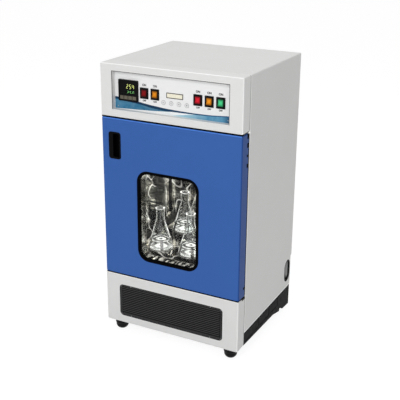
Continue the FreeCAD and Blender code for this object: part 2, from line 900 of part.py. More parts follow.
def switch_housings():
    """Five black switch housings with their cavities, pivot holes and blade terminals."""
    housings = []
    front = panel_y - switch_proud
    back = panel_y + switch_body_depth
    for x in switch_places:
        bezel = rounded_prism(at_front, around(x, switch_width), around(switch_z, switch_height),
                              (front, panel_y), switch_radius)
        body = block(around(x, switch_width - 2 * switch_body_inset), (panel_y, back),
                     around(switch_z, switch_height - 2 * switch_body_inset))
        cavity = block(around(x, cavity_width), (front - overrun, front + cavity_depth),
                       around(switch_z, cavity_height))
        pivot_length = rocker_width + 2 * rocker_pin_length + 2 * easy_gap
        pivot = rod(Vector(x - pivot_length / 2, rocker_pivot_y, switch_z), RIGHT,
                    rocker_pin_radius + fit, pivot_length)
        blades = [block(around(x, terminal_width), (back - overrun, back + terminal_length),
                        around(z, terminal_thickness)) for z in spread(switch_z, terminal_pitch, 3)]
        housings.append(joined([bezel, body] + blades).cut([cavity, pivot]))
    return Part.makeCompound(housings)


def rocker(x):
    """Rocker with a shallow valley across its face and a pin at each side, pressed in at the top."""
    half = rocker_height / 2
    valley = half * math.tan(math.radians(rocker_angle))
    tail = half * rocker_tail_share
    outline = [(rocker_front_y - valley, switch_z + half), (rocker_front_y, switch_z),
               (rocker_front_y - valley, switch_z - half), (rocker_front_y + rocker_depth, switch_z - tail),
               (rocker_front_y + rocker_depth, switch_z + tail)]
    body = prism(at_side, outline, around(x, rocker_width))
    pin_length = rocker_width + 2 * rocker_pin_length
    pin = rod(Vector(x - pin_length / 2, rocker_pivot_y, switch_z), RIGHT, rocker_pin_radius, pin_length)
    solid = joined([body, pin])
    solid.rotate(Vector(x, rocker_pivot_y, switch_z), RIGHT, -rocker_angle)
    return solid


def lcd_module():
    """Small display: framed window in the panel, body and board behind it."""
    window_y = (panel_y - lcd_proud, panel_back_y)
    board_y = (panel_y + lcd_board_gap, panel_y + lcd_board_gap + lcd_board_thickness)
    bezel = block(around(lcd_x, lcd_width), window_y, around(lcd_z, lcd_height))
    body = block(around(lcd_x, lcd_width + 2 * lcd_border), (panel_back_y, board_y[0]),
                 around(lcd_z, lcd_height + 2 * lcd_border))
    board = block(around(lcd_x, lcd_board_width), board_y,
                  around(lcd_z - lcd_board_drop, lcd_board_height))
    view_y = (window_y[0] - overrun, window_y[0] + lcd_sink)
    window = block(around(lcd_x, lcd_width - 2 * lcd_border), view_y, around(lcd_z, lcd_height - 2 * lcd_border))
    return joined([bezel, body, board]).cut(window)


def panel_key(x):
    """Round key with a flange behind the panel and a stem that reaches towards the board."""
    cap_y = (panel_y - key_proud, panel_back_y + easy_gap)
    flange_y = (cap_y[1], cap_y[1] + key_flange_thickness)
    stem_y = (flange_y[1], panel_y + lcd_board_gap - key_travel - key_stop_gap)
    return joined([rod_y(key_radius, x, cap_y, key_z),
                   rod_y(key_radius + key_flange, x, flange_y, key_z),
                   rod_y(key_stem_radius, x, stem_y, key_z)])


def plinth_front():
    """Lower front box with the grille's opening, standing over the base's front beam."""
    shell = front_shell((bottom_z, plinth_top_z))
    opening = rounded_prism(at_front, grille_x, grille_z, past((front_y, front_y + sheet)), grille_radius)
    studs = [rod_z(stud_radius + easy_gap, x, y, past((bottom_z, bottom_z + sheet)))
             for x, y in front_feet]
    return shell.cut([opening] + studs)


def plinth_grille():
    """Black louvre grille: round-cornered frame, tilted slats, ribs behind and a fixing flange."""
    y = (front_y + grille_sink, front_y + grille_sink + grille_depth)
    cut_y = past(y)
    frame = rounded_prism(at_front, grille_x, grille_z, y, grille_radius)
    flange = inset_prism(at_front, grille_x, grille_z, between(front_y + sheet, grille_flange_thickness),
                         grille_radius, -grille_flange)
    hole = inset_prism(at_front, grille_x, grille_z, cut_y, grille_radius, grille_frame)
    ring = joined([frame, flange]).cut(hole)
    inner_z = (grille_z[0] + grille_frame, grille_z[1] - grille_frame)
    pitch = (inner_z[1] - inner_z[0]) / slat_count
    slat_x = (grille_x[0] + grille_frame / 2, grille_x[1] - grille_frame / 2)
    slat_centre_y = y[0] + slat_depth / 2
    solids = [ring]
    for z in spread((inner_z[0] + inner_z[1]) / 2, pitch, slat_count):
        slat = block(slat_x, around(slat_centre_y, slat_depth), around(z, slat_thickness))
        slat.rotate(Vector(0, slat_centre_y, z), RIGHT, slat_tilt)
        solids.append(slat)
    rib_pitch = (slat_x[1] - slat_x[0]) / (rib_count + 1)
    rib_z = (grille_z[0] + grille_frame / 2, grille_z[1] - grille_frame / 2)
    for x in spread((slat_x[0] + slat_x[1]) / 2, rib_pitch, rib_count):
        solids.append(block(around(x, rib_width), (slat_centre_y, y[1]), rib_z))
    return joined(solids)


def chamber_liner():
    """Polished inner box with the flange that faces the door, and a sill below the mouth."""
    half = chamber_width / 2
    box = block((-half - sheet, half + sheet), (body_front_y, chamber_back_y + sheet),
                (chamber_floor_z - sheet, chamber_top_z + sheet))
    flange = block((-inner_half_width, inner_half_width), (body_front_y, body_front_y + sheet),
                   (foam_bottom_z, head_bottom_z))
    hollow = block((-half, half), (body_front_y + sheet, chamber_back_y), (chamber_floor_z, chamber_top_z))
    mouth = rounded_prism(at_front, (-half, half), (mouth_bottom_z, chamber_top_z),
                          past((body_front_y, body_front_y + sheet)), mouth_radius)
    motor_hole = rod_z(shaft_hole_radius, motor_x, motor_y, past((chamber_floor_z - sheet, chamber_floor_z)))
    fan_hole = rod_y(fan_motor_nose_radius, 0, past((chamber_back_y, chamber_back_y + sheet)), fan_z)
    return joined([box, flange]).cut([hollow, mouth, motor_hole, fan_hole])


def insulation():
    """Foam between the liner and the outside, with pockets for both motors."""
    half = chamber_width / 2 + sheet
    main = block((-inner_half_width, inner_half_width), (body_front_y + sheet, body_back_y),
                 (foam_bottom_z, head_bottom_z))
    rear_half = inner_half_width - edge_radius
    rear = block((-rear_half, rear_half), (body_back_y, back_y - sheet),
                 (rear_cover_bottom_z + edge_radius, head_bottom_z))
    hollow = block((-half, half), (body_front_y, chamber_back_y + sheet), (chamber_floor_z - sheet,
                                                                          chamber_top_z + sheet))
    sleeve = rod_z(motor_sleeve_radius, motor_x, motor_y, (foam_bottom_z - overrun, chamber_floor_z))
    fan_pocket = rod_y(fan_motor_radius, 0, (chamber_back_y, fan_motor_y + fan_motor_depth), fan_z)
    cover_edge = block((-inner_half_width, inner_half_width), (body_back_y - sheet, body_back_y),
                       (foam_bottom_z, rear_cover_bottom_z))
    grips = [oval(side, -grip_wall, (half_width - grip_depth, half_width)) for side in (-1, 1)]
    return joined([main, rear]).cut([hollow, sleeve, fan_pocket, cover_edge] + grips)


def duct_panel():
    """Panel in front of the fan, heater and coil, with slots, fan guard and side returns."""
    half = chamber_width / 2
    y = (duct_y, duct_y + sheet)
    z = (chamber_floor_z, chamber_top_z - duct_top_gap)
    cut_y = past(y)
    plate = block((-half, half), y, z)
    slots_top = chamber_floor_z + duct_slot_lift + duct_slot_rows * duct_slot_pitch
    cutters = slot_cutters(0, slots_top, cut_y, duct_slot_rows, duct_slot_columns, duct_slot_spread,
                           duct_slot_length, duct_slot_height, duct_slot_pitch)
    cutters.append(rod_y(fan_hole_radius, 0, cut_y, fan_z))
    solids = [plate.cut(cutters)]
    for side in (-1, 1):
        solids.append(block(sorted((side * (half - sheet), side * half)), (duct_y, chamber_back_y), z))
    ring_pitch = fan_hole_radius / guard_ring_count
    for index in range(guard_ring_count):
        outer = ring_pitch * (index + 0.5)
        ring = rod_y(outer, 0, y, fan_z)
        if index:
            ring = ring.cut(rod_y(outer - guard_ring_width, 0, cut_y, fan_z))
        solids.append(ring)
    for index in range(guard_spoke_count // 2):
        length = 2 * fan_hole_radius + guard_spoke_width
        spoke = block(around(0, length), y, around(fan_z, guard_spoke_width))
        spoke.rotate(Vector(0, 0, fan_z), BACK, FULL_TURN / guard_spoke_count * index)
        solids.append(spoke)
    return joined(solids)


def circulation_fan():
    """Radial fan wheel with its shaft, behind the duct panel's guard."""
    y = (fan_front_y, fan_front_y + fan_depth)
    solids = [rod_y(fan_radius, 0, (y[1] - fan_disc_thickness, y[1]), fan_z),
              rod_y(fan_hub_radius, 0, y, fan_z),
              rod_y(fan_shaft_radius, 0, (y[1] - overrun, fan_shaft_end_y), fan_z)]
    for index in range(blade_count):
        blade = block((blade_inner_radius, fan_radius - blade_thickness), y, around(fan_z, blade_thickness))
        blade.rotate(Vector(blade_inner_radius, 0, fan_z), BACK, fan_blade_sweep)
        blade.rotate(Vector(0, 0, fan_z), BACK, FULL_TURN / blade_count * index)
        solids.append(blade)
    return joined(solids)


def fan_motor():
    """Fan motor let into the rear foam, with a nose that carries the fan shaft."""
    solids = [rod_y(fan_motor_radius, 0, between(fan_motor_y, fan_motor_depth), fan_z),
              rod_y(fan_motor_nose_radius, 0, (fan_nose_y, fan_motor_y + overrun), fan_z)]
    bore = rod_y(fan_shaft_radius + fit, 0, (fan_nose_y - overrun, fan_shaft_end_y + easy_gap), fan_z)
    return joined(solids).cut(bore)


def heater():
    """Ring heater round the fan, on two legs from the rear wall."""
    y = fan_front_y + fan_depth / 2
    ring = Part.makeTorus(heater_radius, heater_tube_radius, Vector(0, y, fan_z), BACK)
    drop = math.sqrt(heater_radius ** 2 - heater_leg_spread ** 2)
    legs = [rod_y(heater_leg_radius, side * heater_leg_spread, (y, chamber_back_y), fan_z - drop)
            for side in (-1, 1)]
    return joined([ring] + legs)


def evaporator():
    """Cooling coil low behind the duct panel, on end plates that reach the rear wall."""
    middle = (duct_y + sheet + chamber_back_y) / 2
    y = around(middle, evaporator_depth)
    z = (chamber_floor_z + evaporator_lift, chamber_floor_z + evaporator_lift + evaporator_height)
    return finned_coil(around(0, evaporator_width), y, z, evaporator_fin_count, evaporator_fin_thickness,
                       evaporator_tube_radius, evaporator_tube_rows, (y[0], chamber_back_y), z)


def temperature_probe():
    """Probe that stands out of the duct panel into the chamber."""
    x = probe_from_left - chamber_width / 2
    z = chamber_top_z - probe_drop
    return joined([rod_y(probe_boss_radius, x, (duct_y - probe_boss_length, duct_y), z),
                   rod_y(probe_radius, x, (duct_y - probe_length, duct_y), z)])


def chamber_lamp():
    """Round lamp under the chamber's ceiling."""
    x = chamber_width / 2 - lamp_from_right
    y = duct_y - lamp_from_duct
    base_z = (chamber_top_z - lamp_base_height, chamber_top_z)
    globe_bottom = base_z[0] - lamp_globe_height
    base = rod_z(lamp_base_radius, x, y, base_z)
    globe_z = globe_bottom + lamp_globe_radius
    dome = Part.makeSphere(lamp_globe_radius, Vector(x, y, globe_z), UP, -FULL_TURN / 4, 0, FULL_TURN)
    return joined([base, rod_z(lamp_globe_radius, x, y, (globe_z, base_z[0])), dome])


def drive_base():
    """Plate on the chamber floor with four bearing bosses."""
    z = (chamber_floor_z, chamber_floor_z + base_thickness)
    solids = [rounded_prism(at_top, around(0, base_length), around(0, base_width), z, base_corner_radius)]
    cutters = [rod_z(shaft_hole_radius, motor_x, motor_y, past(z))]
    for x, y in crank_places:
        top = chamber_floor_z + bearing_top
        solids.append(rod_z(boss_radius, x, y, (z[0], top)))
        cutters.append(rod_z(journal_radius + fit, x, y, (z[0] + shaft_foot, top + overrun)))
    return joined(solids).cut(cutters)


def crank(x, y):
    """Eccentric crank: journal, web and the pin that stands one orbit radius behind it."""
    return joined([rod_z(journal_radius, x, y, (chamber_floor_z + shaft_foot + easy_gap, web_bottom_z)),
                   rod_z(web_radius, x, y, (web_bottom_z, web_top_z)),
                   rod_z(crank_pin_radius, x, y + orbit_radius, (web_top_z, pin_top_z))])


def pulley_blank(x, y, radius):
    """Drum with a flange at its top and bottom."""
    z = (pulley_z[0], pulley_z[1])
    return joined([rod_z(radius, x, y, z),
                   rod_z(radius + flange_rise, x, y, (z[0], z[0] + flange_thickness)),
                   rod_z(radius + flange_rise, x, y, (z[1] - flange_thickness, z[1]))])


def large_pulley():
    """Driven pulley: pierced web, and a solid half that balances the crank pin."""
    blank = pulley_blank(0, shaft_y, pulley_radius)
    cut_z = past(pulley_z)
    inner = pulley_radius - pulley_rim_thickness
    web_rise = (pulley_height - pulley_web_thickness) / 2
    cutters = []
    below = (pulley_z[0] - overrun, pulley_z[0] + web_rise)
    above = (pulley_z[1] - web_rise, pulley_z[1] + overrun)
    for z in (below, above):
        ring = rod_z(inner, 0, shaft_y, z).cut(rod_z(pulley_hub_radius, 0, shaft_y, z))
        far_half = block((-inner, inner), (shaft_y, shaft_y + inner), z)
        cutters.append(ring.common(far_half))
    window_circle = (inner + pulley_hub_radius) / 2
    for index in range(1, pulley_window_count):
        angle = math.radians(180 * index / pulley_window_count)
        cutters.append(rod_z(pulley_window_radius, window_circle * math.cos(angle),
                             shaft_y + window_circle * math.sin(angle), cut_z))
    cutters.append(rod_z(journal_radius + fit, 0, shaft_y, cut_z))
    return blank.cut(cutters)


def motor_pulley():
    """Small pulley with the motor shaft that it is fixed on."""
    shaft = rod_z(motor_shaft_radius, motor_x, motor_y, (motor_bore_z + easy_gap, pulley_z[1]))
    return joined([pulley_blank(motor_x, motor_y, motor_pulley_radius), shaft])


def belt_loop(large, small, z):
    """Solid bounded by a taut loop round circles at both shafts."""
    reach = Vector(motor_x, motor_y - shaft_y, 0)
    heading = math.atan2(reach.y, reach.x)
    lead = math.acos((large - small) / reach.Length)

    def on_circle(centre, radius, angle):
        return Vector(centre[0] + radius * math.cos(angle), centre[1] + radius * math.sin(angle), z[0])

    home = (0, shaft_y)
    away = (motor_x, motor_y)
    big = [on_circle(home, large, heading + turn) for turn in (lead, math.pi, -lead)]
    little = [on_circle(away, small, heading + turn) for turn in (-lead, 0, lead)]
    edges = [Part.Arc(*big).toShape(), Part.LineSegment(big[2], little[0]).toShape(),
             Part.Arc(*little).toShape(), Part.LineSegment(little[2], big[0]).toShape()]
    return Part.Face(Part.Wire(edges)).extrude(Vector(0, 0, z[1] - z[0]))


def drive_belt():
    """Flat belt between the flanges of both pulleys, clear of them by the easy gap."""
    margin = flange_thickness + easy_gap
    z = (pulley_z[0] + margin, pulley_z[1] - margin)
    large = pulley_radius + easy_gap
    small = motor_pulley_radius + easy_gap
    outer = belt_loop(large + belt_thickness, small + belt_thickness, z)
    return outer.cut(belt_loop(large, small, past(z)))


def shaker_motor():
    """Finned motor under the chamber, with the sleeve that brings its shaft through the foam."""
    flange_z = (foam_bottom_z - motor_flange_thickness, foam_bottom_z)
    body_z = (flange_z[0] - motor_length, flange_z[0])
    body = rod_z(motor_radius, motor_x, motor_y, body_z)
    bottom_edges = [edge for edge in body.Edges if edge.CenterOfMass.z < body_z[0] + touching]
    solids = [body.makeFillet(motor_foot_chamfer, bottom_edges),
              rounded_prism(at_top, around(motor_x, motor_flange_size), around(motor_y, motor_flange_size),
                            flange_z, base_corner_radius),
              rod_z(motor_sleeve_radius, motor_x, motor_y, (foam_bottom_z, chamber_floor_z - sheet))]
    fin_z = (body_z[0] + 2 * motor_foot_chamfer, body_z[1])
    for index in range(motor_fin_count):
        fin = block(between(motor_x, motor_radius + motor_fin_depth), around(motor_y, motor_fin_width), fin_z)
        fin.rotate(Vector(motor_x, motor_y, 0), UP, FULL_TURN / motor_fin_count * index)
        solids.append(fin)
    box_start = motor_x + motor_radius
    solids.append(block((box_start - terminal_box_depth / 2, box_start + terminal_box_depth),
                        around(motor_y, terminal_box_width),
                        (body_z[1] - terminal_box_height, body_z[1])))
    bore = rod_z(motor_shaft_radius + fit, motor_x, motor_y, (motor_bore_z, chamber_floor_z))
    return joined(solids).cut(bore)


def carrier_frame():
    """Plate under the platform with a bearing boss for each crank pin."""
    plate_z = (carrier_top_z - carrier_thickness, carrier_top_z)
    solids = [rounded_prism(at_top, around(0, carrier_length), around(carrier_shift_y, carrier_width),
                            plate_z, carrier_corner_radius)]
    cutters = []
    for index, (x, y) in enumerate(pin_places):
        clearance = fit if index == 0 else open_pivot_gap
        solids.append(rod_z(carrier_boss_radius, x, y, (carrier_bottom_z, carrier_top_z)))
        cutters.append(rod_z(crank_pin_radius + clearance, x, y,
                             (carrier_bottom_z - overrun, carrier_top_z + overrun)))
    hole_y = spread(carrier_shift_y, carrier_width / 2, 2)
    for x in spread(0, carrier_length / 2, 2):
        for y in hole_y:
            cutters.append(rod_z(carrier_hole_radius, x, y, past(plate_z)))
    return joined(solids).cut(cutters)


def platform():
    """Shaking platform: perforated tray with its rim turned down."""
    x = around(0, platform_length)
    y = around(0, platform_width)
    tray = rounded_prism(at_top, x, y, (platform_top_z - platform_lip, platform_top_z), platform_radius)
    under = inset_prism(at_top, x, y, (platform_top_z - platform_lip - overrun, carrier_top_z),
                        platform_radius, platform_sheet)
    holes = [rod_z(platform_hole_radius, hole_x, hole_y, (carrier_top_z - overrun, platform_top_z + overrun))
             for hole_x in spread(0, platform_hole_pitch, platform_hole_columns)
             for hole_y in spread(0, platform_hole_pitch, platform_hole_rows)]
    return tray.cut([under] + holes)


def clamp(x, y):
    """Spring clamp: base disc, fingers that follow the flask's cone, and the spring round them."""
    slope = (flask_radius - flask_neck_radius) / (flask_shoulder_height - flask_heel_radius)
    inner = flask_radius + finger_gap
    lean = finger_lean_height * slope
    straight = clamp_disc_thickness + flask_heel_radius
    top = straight + finger_lean_height
    inside = [(inner, 0), (inner, straight), (inner - lean, top),
              (inner - lean + finger_hook, top + finger_hook)]
    outline = inside + [(radius + finger_thickness, height) for radius, height in reversed(inside)]
    disc = Part.makeCylinder(clamp_disc_radius, clamp_disc_thickness)
    disc = disc.cut(Part.makeCylinder(flask_neck_radius, clamp_disc_thickness))
    solids = [disc]
    for index in range(finger_count):
        finger = prism(at_front, outline, around(0, finger_width))
        finger.rotate(Vector(0, 0, 0), UP, FULL_TURN / finger_count * (index + finger_turn_share))
        solids.append(finger)
    spring_drop = (spring_lift - straight) * slope
    spring_circle = inner + finger_thickness - spring_drop + spring_radius / 2
    solids.append(Part.makeTorus(spring_circle, spring_radius, Vector(0, 0, spring_lift), UP))
    solid = joined(solids)
    solid.translate(Vector(x, y, platform_top_z))
    return solid


def flask(x, y):
    """Conical flask with a round heel, straight neck and beaded rim."""
    slant = math.sqrt(0.5)
    heel = flask_heel_radius
    wall = flask_wall
    bore = flask_neck_radius - wall
    rim_z = flask_height - flask_rim_height
    bead = flask_rim_height / 2
    flat = flask_radius - heel
    thin = heel - wall
    outside = [(flat, 0), (flat + heel * slant, heel - heel * slant), (flask_radius, heel)]
    inside = [(flask_radius - wall, heel), (flat + thin * slant, heel - thin * slant), (flat, wall)]
    rim_start = (flask_rim_radius - bead, rim_z)
    rim_end = (flask_rim_radius - bead, flask_height)
    edges = lines([(0, 0), outside[0]]) + [curve(*outside)]
    edges += lines([outside[2], (flask_neck_radius, flask_shoulder_height), (flask_neck_radius, rim_z),
                    rim_start])
    edges += [curve(rim_start, (flask_rim_radius, rim_z + bead), rim_end)]
    edges += lines([rim_end, (bore, flask_height), (bore, flask_shoulder_height), inside[0]])
    edges += [curve(*inside)]
    edges += lines([inside[2], (0, wall), (0, 0)])
    return turned(edges, x, y, flask_base_z)


def on_platform(piece):
    """The same piece at each place of the platform's rows and columns."""
    return Part.makeCompound([piece(x, y) for x in spread(0, clamp_pitch_x, flask_columns)
                              for y in spread(0, clamp_pitch_y, flask_rows)])


def compressor():
    """Sealed compressor can on a plate with four rubber mounts."""
    plate_z = (deck_z + mount_height, deck_z + mount_height + compressor_foot_thickness)
    can_z = (plate_z[1], plate_z[1] + compressor_body_height + 2 * compressor_dome_height)
    can = rod_z(compressor_radius, compressor_x, compressor_y, can_z)
    round_edges = [edge for edge in can.Edges if edge.BoundBox.ZLength < touching]
    can = can.makeFillet(compressor_dome_height, round_edges)
    seam_z = around((can_z[0] + can_z[1]) / 2, 2 * compressor_seam)
    solids = [can, rod_z(compressor_radius + compressor_seam, compressor_x, compressor_y, seam_z),
              block(around(compressor_x, compressor_foot_size), around(compressor_y, compressor_foot_size),
                    plate_z)]
    span = compressor_foot_size - 2 * mount_inset
    for x in spread(compressor_x, span, 2):
        for y in spread(compressor_y, span, 2):
            solids.append(rod_z(mount_radius, x, y, (deck_z, plate_z[0])))
    for z in spread(seam_z[1] + compressor_dome_height, compressor_dome_height, 2):
        centre = Vector(compressor_x, compressor_y, z)
        solids.append(rod(centre, RIGHT, stub_radius, compressor_radius + stub_length))
    return joined(solids)


def condenser():
    """Condenser coil behind the grille, standing on the deck."""
    y = (condenser_front_y, condenser_back_y)
    z = (deck_z, deck_z + condenser_height)
    return finned_coil(around(condenser_x, condenser_width), y, z, condenser_fin_count,
                       condenser_fin_thickness, condenser_tube_radius, condenser_tube_rows, y, z)


def condenser_fan_shroud():
    """Shroud behind the condenser, with the motor on four arms."""
    plate_y = (condenser_back_y, condenser_back_y + shroud_sheet)
    plate = block(around(condenser_x, condenser_width + end_plate_thickness), plate_y,
                  (deck_z, deck_z + condenser_height))
    ring_y = (condenser_back_y, shroud_end_y)
    ring = rod_y(shroud_ring_radius + shroud_ring_wall, condenser_x, ring_y, condenser_z)
    hole = rod_y(shroud_ring_radius, condenser_x, past(ring_y), condenser_z)
    arms_y = (shroud_end_y, shroud_end_y + motor_arm_thickness)
    reach = 2 * (shroud_ring_radius + shroud_ring_wall)
    arms = [block(around(condenser_x, reach), arms_y, around(condenser_z, motor_arm_width)),
            block(around(condenser_x, motor_arm_width), arms_y, around(condenser_z, reach))]
    motor_y = (arms_y[0], arms_y[1] + condenser_motor_depth)
    motor = rod_y(condenser_motor_radius, condenser_x, motor_y, condenser_z)
    bore = rod_y(condenser_shaft_radius + fit, condenser_x,
                 (arms_y[0] - overrun, condenser_shaft_end_y + easy_gap), condenser_z)
    return joined([joined([plate, ring]).cut(hole), motor] + arms).cut(bore)


def condenser_fan():
    """Axial fan in the shroud, with its shaft."""
    middle_y = (condenser_back_y + shroud_end_y) / 2
    hub_y = around(middle_y, condenser_fan_depth)
    solids = [rod_y(condenser_fan_hub_radius, condenser_x, hub_y, condenser_z),
              rod_y(condenser_shaft_radius, condenser_x, (middle_y, condenser_shaft_end_y), condenser_z)]
    centre = Vector(condenser_x, middle_y, condenser_z)
    for index in range(condenser_blade_count):
        blade = block(between(condenser_x, condenser_fan_radius), around(middle_y, condenser_blade_thickness),
                      around(condenser_z, condenser_blade_chord))
        blade.rotate(centre, RIGHT, condenser_blade_pitch_angle)
        blade.rotate(centre, BACK, FULL_TURN / condenser_blade_count * index)
        solids.append(blade)
    return joined(solids)


def hinge_brackets():
    """Lower and upper hinge plates, each with its pin."""
    x = (hinge_x - hinge_plate_inner, hinge_x + hinge_plate_outer)
    y = (hinge_y - hinge_plate_front, body_front_y)
    low_pin_z = (plinth_top_z, door_bottom_z + hinge_pin_length)
    high_pin_z = (door_top_z - hinge_pin_length, head_bottom_z)
    lower = joined([block(x, y, between(plinth_top_z, hinge_plate)),
                    rod_z(hinge_pin_radius, hinge_x, hinge_y, low_pin_z)])
    upper = joined([block(x, y, (head_bottom_z - hinge_plate, head_bottom_z)),
                    rod_z(hinge_pin_radius, hinge_x, hinge_y, high_pin_z)])
    return Part.makeCompound([lower, upper])


def window_prism(inset, y):
    """Prism of the window's outline, drawn smaller by an inset."""
    return inset_prism(at_front, window_x, window_z, y, window_radius, inset)


def pull_prism(inset, y):
    """Prism of the recessed pull's outline, drawn smaller by an inset."""
    return inset_prism(at_front, pull_x, pull_z, y, pull_radius, inset)


def hinge_blocks(grow):
    """The two solid blocks in the door that hold its hinge pins, grown all round."""
    outer_x = half_width - door_sheet
    x = (outer_x - hinge_block_width - grow, outer_x + grow)
    y = around(hinge_y, hinge_block_depth + 2 * grow)
    return [block(x, y, (door_bottom_z - grow, door_bottom_z + hinge_block_height + grow)),
            block(x, y, (door_top_z - hinge_block_height - grow, door_top_z + grow))]


def door_skin():
    """Blue outer pan of the door, with window and pull openings and hinge blocks."""
    y = (door_front_y, door_back_y)
    outer = rounded_box((-half_width, half_width), y, (door_bottom_z, door_top_z), edge_radius, door_back_y)
    inner_x = half_width - door_sheet
    inner = rounded_box((-inner_x, inner_x), (y[0] + door_sheet, y[1] + overrun),
                        (door_bottom_z + door_sheet, door_top_z - door_sheet), edge_radius - door_sheet,
                        y[1] + overrun)
    cut_y = (y[0] - overrun, y[0] + 2 * door_sheet)
    pan = outer.cut([inner, window_prism(gasket_neck_inset, cut_y), pull_prism(pull_rim, cut_y)])
    pin_hole = hinge_pin_length + hinge_hole_spare
    low_hole_z = (door_bottom_z - overrun, door_bottom_z + pin_hole)
    high_hole_z = (door_top_z - pin_hole, door_top_z + overrun)
    holes = [rod_z(hinge_pin_radius + fit, hinge_x, hinge_y, z) for z in (low_hole_z, high_hole_z)]
    inner_blocks = [solid.common(outer) for solid in hinge_blocks(0)]
    return joined([pan] + inner_blocks).cut(holes)


def door_insulation():
    """Foam in the door, round the window tunnel, the pull and the hinge blocks."""
    inset = door_sheet + foam_skin_gap
    x = (-half_width + inset, half_width - inset)
    y = (door_front_y + inset, liner_front_y)
    foam = rounded_box(x, y, (door_bottom_z + inset, door_top_z - inset), edge_radius - inset, y[1])
    cut_y = (door_front_y, door_back_y)
    pull_hole = pull_prism(pull_rim - foam_skin_gap, between(door_front_y, pull_depth + foam_skin_gap))
    window_hole = window_prism(gasket_neck_inset - foam_skin_gap, cut_y)
    return foam.cut([window_hole, pull_hole] + hinge_blocks(foam_skin_gap))


def door_liner():
    """Inner panel of the door with the tunnel that lines the window."""
    inset = door_sheet + foam_skin_gap
    plate = rounded_prism(at_front, (-half_width + inset, half_width - inset),
                          (door_bottom_z + inset, door_top_z - inset), (liner_front_y, door_back_y),
                          edge_radius - inset)
    tunnel = window_prism(gasket_neck_inset, (door_front_y + gasket_depth, door_back_y))
    hole = window_prism(gasket_neck_inset + tunnel_wall, (door_front_y, door_back_y + overrun))
    return joined([plate, tunnel]).cut(hole)


def window_gasket():
    """Rubber frame with a lip on the door's face and a groove that holds the outer pane."""
    lip = window_prism(0, (door_front_y - gasket_proud, door_front_y))
    neck = window_prism(gasket_neck_inset, (door_front_y, door_front_y + gasket_depth))
    view = window_prism(gasket_width, (front_y - overrun, door_front_y + gasket_depth + overrun))
    return joined([lip, neck]).cut([view, window_prism(gasket_pane_inset, outer_pane_y)])


def window_glass():
    """Outer pane in the gasket and inner pane in the tunnel."""
    inner_y = (door_back_y - inner_pane_sink - glass_thickness, door_back_y - inner_pane_sink)
    return Part.makeCompound([window_prism(gasket_pane_inset, outer_pane_y),
                              window_prism(gasket_neck_inset + tunnel_wall, inner_y)])


def door_seal():
    """Soft magnetic seal round the chamber's mouth, with a groove along its face."""
    inner_x = chamber_width / 2 + seal_mouth_gap
    inner_z = (mouth_bottom_z - seal_mouth_gap, chamber_top_z + seal_mouth_gap)
    y = (door_back_y, door_back_y + seal_height)
    cut_y = past(y)

    def frame(grow, depth):
        return block((-inner_x - grow, inner_x + grow), depth, (inner_z[0] - grow, inner_z[1] + grow))

    ring = frame(seal_width, y).cut(frame(0, cut_y))
    middle = seal_width / 2
    groove_y = (y[1] - seal_groove_depth, y[1] + overrun)
    outer_grow, inner_grow = around(middle, -seal_groove_width)
    groove = frame(outer_grow, groove_y).cut(frame(inner_grow, cut_y))
    return ring.cut(groove)


def handle_cup():
    """Recessed pull with a lip on the side of the door's free edge."""
    front = door_front_y - pull_proud
    rim = pull_prism(0, (front, door_front_y))
    cup = pull_prism(pull_rim, (door_front_y, door_front_y + pull_depth))
    inner = pull_rim + pull_wall
    pocket = pull_prism(inner, (front + pull_lip_depth, door_front_y + pull_depth - pull_wall))
    lip_x = pull_x[0] + inner + pull_lip_share * (pull_width - 2 * inner)
    mouth = rounded_prism(at_front, (lip_x, pull_x[1] - inner), (pull_z[0] + inner, pull_z[1] - inner),
                          (front - overrun, front + 2 * pull_lip_depth), pull_radius - inner)
    return joined([rim, cup]).cut([pocket, mouth])


nodes = {
    "base_frame": base_frame(),
    "cabinet_wrapper": cabinet_wrapper(),
    "grip_inserts": grip_inserts(),
    "rear_cover": rear_cover(),
    "compressor_cover": compressor_cover(),
    "mains_inlet": mains_inlet(),
    "control_head": control_head(),
    "control_panel": control_panel(),
    "temperature_controller": temperature_controller(),
    "switch_housings": switch_housings(),
    "lcd_module": lcd_module(),
    "plinth_front": plinth_front(),
    "plinth_grille": plinth_grille(),
    "chamber_liner": chamber_liner(),
    "insulation": insulation(),
    "duct_panel": duct_panel(),
    "circulation_fan": circulation_fan(),
    "fan_motor": fan_motor(),
    "heater": heater(),
    "evaporator": evaporator(),
    "temperature_probe": temperature_probe(),
    "chamber_lamp": chamber_lamp(),
    "drive_base": drive_base(),
    "crank_shaft": crank(*crank_places[0]),
    "large_pulley": large_pulley(),
    "motor_pulley": motor_pulley(),
    "drive_belt": drive_belt(),
    "shaker_motor": shaker_motor(),
    "carrier_frame": carrier_frame(),
    "platform": platform(),
    "flask_clamps": on_platform(clamp),
    "flasks": on_platform(flask),
    "compressor": compressor(),
    "condenser": condenser(),
    "condenser_fan_shroud": condenser_fan_shroud(),
    "condenser_fan": condenser_fan(),
    "hinge_brackets": hinge_brackets(),
    "door_skin": door_skin(),
    "door_insulation": door_insulation(),
    "door_liner": door_liner(),
    "window_gasket": window_gasket(),
    "window_glass": window_glass(),
    "door_seal": door_seal(),
    "handle_cup": handle_cup(),
}
for number, place in enumerate(front_feet + rear_feet, 1):
    nodes[f"levelling_foot_{number}"] = levelling_foot(*place)
for number, place in enumerate(crank_places[1:], 1):
    nodes[f"idler_crank_{number}"] = crank(*place)
for name, x in zip(rocker_names, switch_places):
    nodes[name] = rocker(x)
for name, x in zip(key_names, key_places):
    nodes[name] = panel_key(x)

os.makedirs("parts", exist_ok=True)
for name, shape in nodes.items():
    shape.exportStep(f"parts/{name}.step")
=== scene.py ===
import math

import bmesh
import bpy
from mathutils import Matrix, Vector


